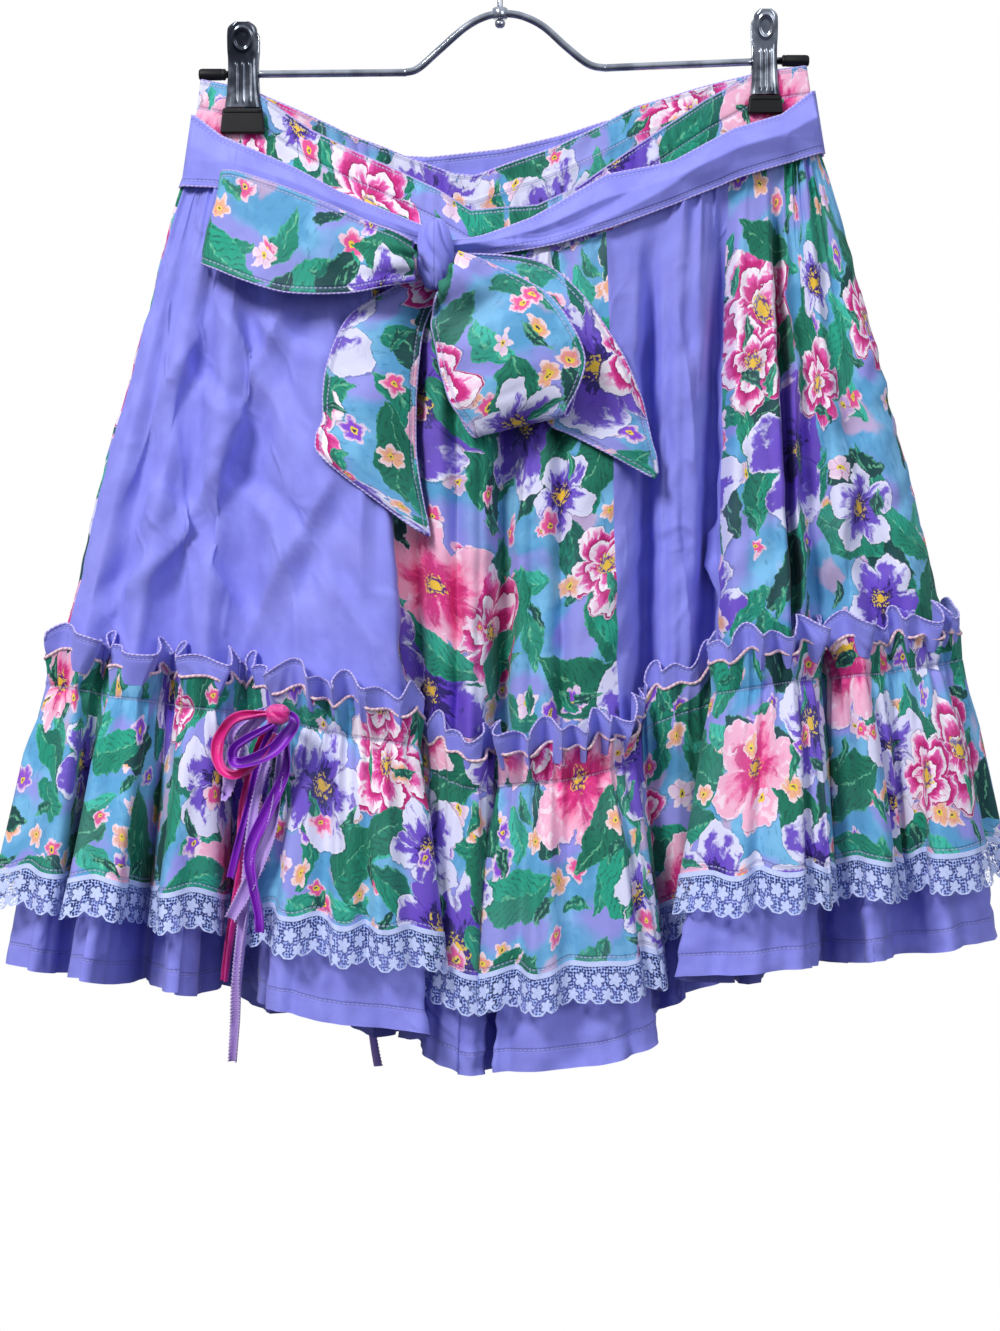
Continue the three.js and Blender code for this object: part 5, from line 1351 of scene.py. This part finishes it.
END_CAP = [(0.3, 2.3), (0.3, 2.9), (0.8, 3.3), (1.6, 3.4), (2.2, 3.15), (2.8, 3.4), (13.6, 3.4), (15, 3.2),
           (15.8, 2.6), (16, 1.6)]  # distance out, radius
CLIPS = [("left", -151, 1.0, 35.5), ("right", 151, 0.8, 31.5)]  # side, x, width, foot of the jaws
CLIP_PLATE = [(-28, 6, 10.5), (-24, 8.2, 10), (-14, 8.6, 7.6), (-8, 8.3, 6.2), (0, 8.4, 5.2), (12, 9.2, 4.7),
              (20, 10.4, 4.6)]  # drop, half width, distance out
JAW_TOP, JAW_HALF_TOP, JAW_HALF_LOW, JAW_INNER, JAW_OUTER = 20.8, 11.5, 13, 2.85, 7.2
SPRING_TURNS, SPRING_REACH, SPRING_R, SPRING_WIRE = 9, 7.2, 3.05, 0.75


def lathe(name, profile, centre, axis, material, sides=32):
    """A turned piece. profile: (distance along the axis, radius)."""
    path = np.array([np.array(centre) + np.array(axis) * along for along, _ in profile])
    return tube_mesh(name, path, [radius for _, radius in profile], material, sides=sides)


def make_hanger():
    chrome, rubber = MATERIALS["chrome"], MATERIALS["rubber"]
    place = []
    for i in range(len(HANGER_WIRE) - 1):
        count = 4 if i in (0, len(HANGER_WIRE) - 2) else 8
        place += list(i + np.arange(count) / count)
    place = np.array(place + [len(HANGER_WIRE) - 1.0])
    # Straight arms, smooth hump: the arms' end points don't pull the curve.
    x, z = (smooth(HANGER_WIRE[:, k], place, False) for k in (0, 1))
    arms = (place < 1) | (place > len(HANGER_WIRE) - 2)
    x = np.where(arms, np.interp(place, range(len(HANGER_WIRE)), HANGER_WIRE[:, 0]), x)
    z = np.where(arms, np.interp(place, range(len(HANGER_WIRE)), HANGER_WIRE[:, 1]), z)
    wire = tube_mesh("hanger_wire_chrome", np.stack([x, 0 * x, z], 1), WIRE_R, chrome, sides=24)
    finish_piece(wire, "hanger_wire")
    finish_piece(lathe("hanger_collar", COLLAR, (SHANK_X, 0, -62), (0, 0, 1), chrome))

    bend = HOOK_BEND_R + HOOK_R
    bow = [(SHANK_X, -54), (2, -45), (12, -38)]
    bow += [(bend * math.cos(math.radians(a)), -HOOK_BEND_R + bend * math.sin(math.radians(a)))
            for a in range(-25, 196, 20)]
    bow += [(-24, -HOOK_BEND_R - 12)]
    hook = [(SHANK_X, height, radius) for height, radius in SHANK]
    hook += [(x, z, HOOK_R) for x, z in smooth_rows(bow, 6)[1:]]
    hook += [(-24.35, -HOOK_BEND_R - 12.8, 1.45), (-24.6, -HOOK_BEND_R - 13.5, 1.0)]
    x, z, radius = np.array(hook).T
    obj = tube_mesh("hanger_hook_chrome", np.stack([x, 0 * x, z], 1), radius, chrome, 20)
    finish_piece(obj, "hanger_hook")

    for side, end in (("left", HANGER_WIRE[0]), ("right", HANGER_WIRE[-1])):
        out = math.copysign(1, end[0])
        cap = lathe(f"end_cap_{side}_rubber", END_CAP, (end[0], 0, end[1]), (out, 0, 0), rubber)
        finish_piece(cap, f"end_cap_{side}")
    for clip in CLIPS:
        make_clip(*clip)


def rounded_block(name, corners, material, bevel, segments=3):
    """A block with soft edges from its eight corners in mm."""
    mesh = bmesh.new()
    verts = [mesh.verts.new(Vector(corner) * MM) for corner in corners]
    for face in ((0, 1, 2, 3), (7, 6, 5, 4), (0, 4, 5, 1), (1, 5, 6, 2), (2, 6, 7, 3), (3, 7, 4, 0)):
        mesh.faces.new([verts[i] for i in face])
    bmesh.ops.recalc_face_normals(mesh, faces=mesh.faces)
    bmesh.ops.bevel(mesh, geom=mesh.edges[:], offset=bevel * MM, segments=segments, profile=0.5,
                    affect="EDGES")
    data = bpy.data.meshes.new(name)
    mesh.to_mesh(data)
    mesh.free()
    data.polygons.foreach_set("use_smooth", [True] * len(data.polygons))
    data.materials.append(material)
    obj = bpy.data.objects.new(name, data)
    bpy.context.scene.collection.objects.link(obj)
    weighted = obj.modifiers.new("edges", "WEIGHTED_NORMAL")
    weighted.keep_sharp = True
    return obj


def make_clip(side, x, width, low):
    pressed, chrome, rubber = MATERIALS["pressed"], MATERIALS["chrome"], MATERIALS["rubber"]
    wire_z = float(np.interp(x, HANGER_WIRE[:, 0], HANGER_WIRE[:, 1]))
    for where, facing in (("front", -1), ("back", 1)):
        table = smooth_rows(CLIP_PLATE, 14)
        across = np.linspace(-1, 1, 49)[None, :]
        drop, half, out = (table[:, k][:, None] for k in range(3))
        # The finger end is round; the sides roll in.
        round_end = np.sqrt(np.clip(1 - ((-24 - drop) / 5.5) ** 2, 0.05, 1)) * (drop < -24) + (drop >= -24)
        px = across * half * round_end * width
        rolled = 1.7 * np.clip((np.abs(across) - 0.62) / 0.38, 0, 1) ** 2
        aside = across * half
        ribs = 0.75 * np.exp(-(((np.abs(aside) - 3.9) / 0.8) ** 2)) + 0.75 * np.exp(-((aside / 0.8) ** 2))
        ribs = ribs * ease(drop, -7, -3) * (1 - ease(drop, 15, 19))
        # A round boss in a raised ring, below the finger end.
        oval = np.sqrt((aside / 5.2) ** 2 + ((drop + 18.5) / 6.2) ** 2)
        emboss = 0.7 * np.exp(-(((oval - 1) / 0.13) ** 2)) - 0.45 * (1 - ease(oval, 0.6, 0.95))
        depth = out - rolled + ribs + emboss
        grid = np.stack(np.broadcast_arrays(x + px, facing * depth, wire_z - drop + 0 * across), -1)
        if facing > 0:
            grid = grid[:, ::-1]
        plate = make_mesh(f"clip_{side}_plate_{where}_chrome", grid, cut_place(px, -drop), pressed, 0.9)
        finish_piece(plate, f"clip_{side}_plate_{where}")
        corners = []
        for depth_at in (JAW_OUTER, JAW_INNER):
            for drop_at, half_at in ((JAW_TOP, JAW_HALF_TOP), (low, JAW_HALF_LOW)):
                pair = [(x - half_at * width, facing * depth_at, wire_z - drop_at),
                        (x + half_at * width, facing * depth_at, wire_z - drop_at)]
                corners += pair if drop_at == JAW_TOP else pair[::-1]
        jaw = rounded_block(f"clip_{side}_jaw_{where}_rubber", corners, rubber, 1.1)
        finish_piece(jaw, f"clip_{side}_jaw_{where}")
        # The lip that the plate's foot is pressed into.
        lip = [(x - JAW_HALF_TOP * width + 1, facing * (JAW_OUTER - 0.4), wire_z - JAW_TOP - 2.2),
               (x + JAW_HALF_TOP * width - 1, facing * (JAW_OUTER - 0.4), wire_z - JAW_TOP - 2.2)]
        ridge = tube_mesh(f"clip_{side}_lip_{where}", np.linspace(lip[0], lip[1], 12), 0.9, rubber, sides=10)
        finish_piece(ridge)
    # The spring is wound round the hanger's wire and slopes as it does.
    angle = np.linspace(0, 2 * math.pi * SPRING_TURNS, SPRING_TURNS * 24)
    slope = float(np.interp(x + 1, *HANGER_WIRE.T) - np.interp(x - 1, *HANGER_WIRE.T)) / 2
    px = np.linspace(-SPRING_REACH, SPRING_REACH, len(angle))
    height = wire_z + px * slope + SPRING_R * np.sin(angle)
    spring = np.stack([x + px, SPRING_R * np.cos(angle), height], 1)
    obj = tube_mesh(f"clip_{side}_spring_coil", spring, SPRING_WIRE, chrome, sides=8)
    finish_piece(obj, f"clip_{side}_spring")


# ---------------------------------------------------------------- camera and light

CAMERA_AT, LENS, SENSOR = (-0.0023, -1.5, -0.44), 69.95, 36
FLOOR_Z = -1.6  # metres below the rail, as a garment hangs over a floor
FLOOR_CORNERS = [(-12, -12), (12, -12), (12, 2.9), (-12, 2.9)]
ROOM_LOW, ROOM_HIGH, WALL = (0.06, 0.065, 0.09, 1), (0.60, 0.63, 0.72, 1), (1, 1, 1, 1)
LIGHTS = [  # name, place, size, power, colour
    ("key", (-1.05, -1.45, 0.9), 0.55, 37, (1, 0.99, 0.97)),
    ("fill", (1.4, -1.8, 0.3), 1.2, 10, (0.92, 0.95, 1)),
]
LIT = Vector((0, 0, -0.38))  # what the lights point at


def link_object(name, data):
    obj = bpy.data.objects.new(name, data)
    bpy.context.scene.collection.objects.link(obj)
    return obj


def make_floor():
    """A plain pale floor far below the skirt. It sends no light back up into the folds."""
    mesh = bpy.data.meshes.new("floor")
    mesh.from_pydata([(x, y, FLOOR_Z) for x, y in FLOOR_CORNERS], [], [(0, 1, 2, 3)])
    paint = bpy.data.materials.new("floor_paint")
    paint.use_nodes = True
    shader = paint.node_tree.nodes["Principled BSDF"]
    shader.inputs["Base Color"].default_value = colour_of("F2F2F5")
    shader.inputs["Roughness"].default_value = 0.9
    mesh.materials.append(paint)
    floor = link_object("floor", mesh)
    floor.visible_diffuse = floor.visible_glossy = False


def make_camera():
    camera = link_object("camera", bpy.data.cameras.new("camera"))
    camera.location = CAMERA_AT
    camera.rotation_euler = (math.radians(90), 0, 0)
    camera.data.lens, camera.data.sensor_width, camera.data.clip_end = LENS, SENSOR, 20
    bpy.context.scene.camera = camera
    bpy.context.scene.view_settings.view_transform = "Standard"


def make_light():
    """A soft room, paler overhead, with a white wall behind the skirt, and two soft lamps."""
    world = bpy.data.worlds.new("studio")
    world.use_nodes = True
    bpy.context.scene.world = world
    tree = world.node_tree
    direction = add_node(tree, "TexCoord").outputs["Generated"]
    parts = add_node(tree, "SeparateXYZ", {0: direction}).outputs
    behind = add_node(tree, "MapRange", {"Value": parts["Y"], "From Min": 0.80, "From Max": 0.92},
                      interpolation_type="SMOOTHSTEP").outputs["Result"]
    high = add_node(tree, "MapRange", {"Value": parts["Z"], "From Min": -0.5, "From Max": 0.8})
    entries = {"A": ROOM_LOW, "B": ROOM_HIGH, "Factor": high.outputs["Result"]}
    room = add_node(tree, "Mix", entries, data_type="RGBA").outputs["Result"]
    entries = {"A": room, "B": WALL, "Factor": behind}
    wall = add_node(tree, "Mix", entries, data_type="RGBA").outputs["Result"]
    tree.links.new(wall, tree.nodes["Background"].inputs["Color"])
    for name, place, size, power, colour in LIGHTS:
        light = bpy.data.lights.new(name, "AREA")
        light.size, light.energy, light.color = size, power, colour
        lamp = link_object(name, light)
        lamp.location = place
        lamp.rotation_euler = (LIT - Vector(place)).to_track_quat("-Z", "Y").to_euler()


make_camera()
make_light()
make_floor()
make_gores()
make_tier()
make_ruffle()
make_waistband()
make_sash("sash_left", SASH_LEFT, 0, RIGHT_SIDE, -1, -184, -44)
make_sash("sash_right", SASH_RIGHT, 0, RIGHT_SIDE, -1, -32, 184)
make_sash("sash_back", SASH_BACK, RIGHT_SIDE, TURN, 1, -184, 184)
make_bow_strip("bow_tail_left", BOW_TAIL_LEFT, 6000, loop=False)
make_bow_strip("bow_tail_right", BOW_TAIL_RIGHT, 6400, loop=False)
make_knot("bow_knot", MATERIALS["plain"], 1.1, 5, 0.3)
UNDER.append(node_tree(["bow_knot"]))
make_bow_strip("bow_loop_right", BOW_LOOP_RIGHT, 6800, loop=True)
make_bow_strip("bow_loop_left", BOW_LOOP_LEFT, 7300, loop=True)
for ribbon in RIBBONS:
    make_ribbon(*ribbon)
make_knot("ribbon_knot", MATERIALS["magenta"], 0.8, 4, 0.25)
make_hanger()
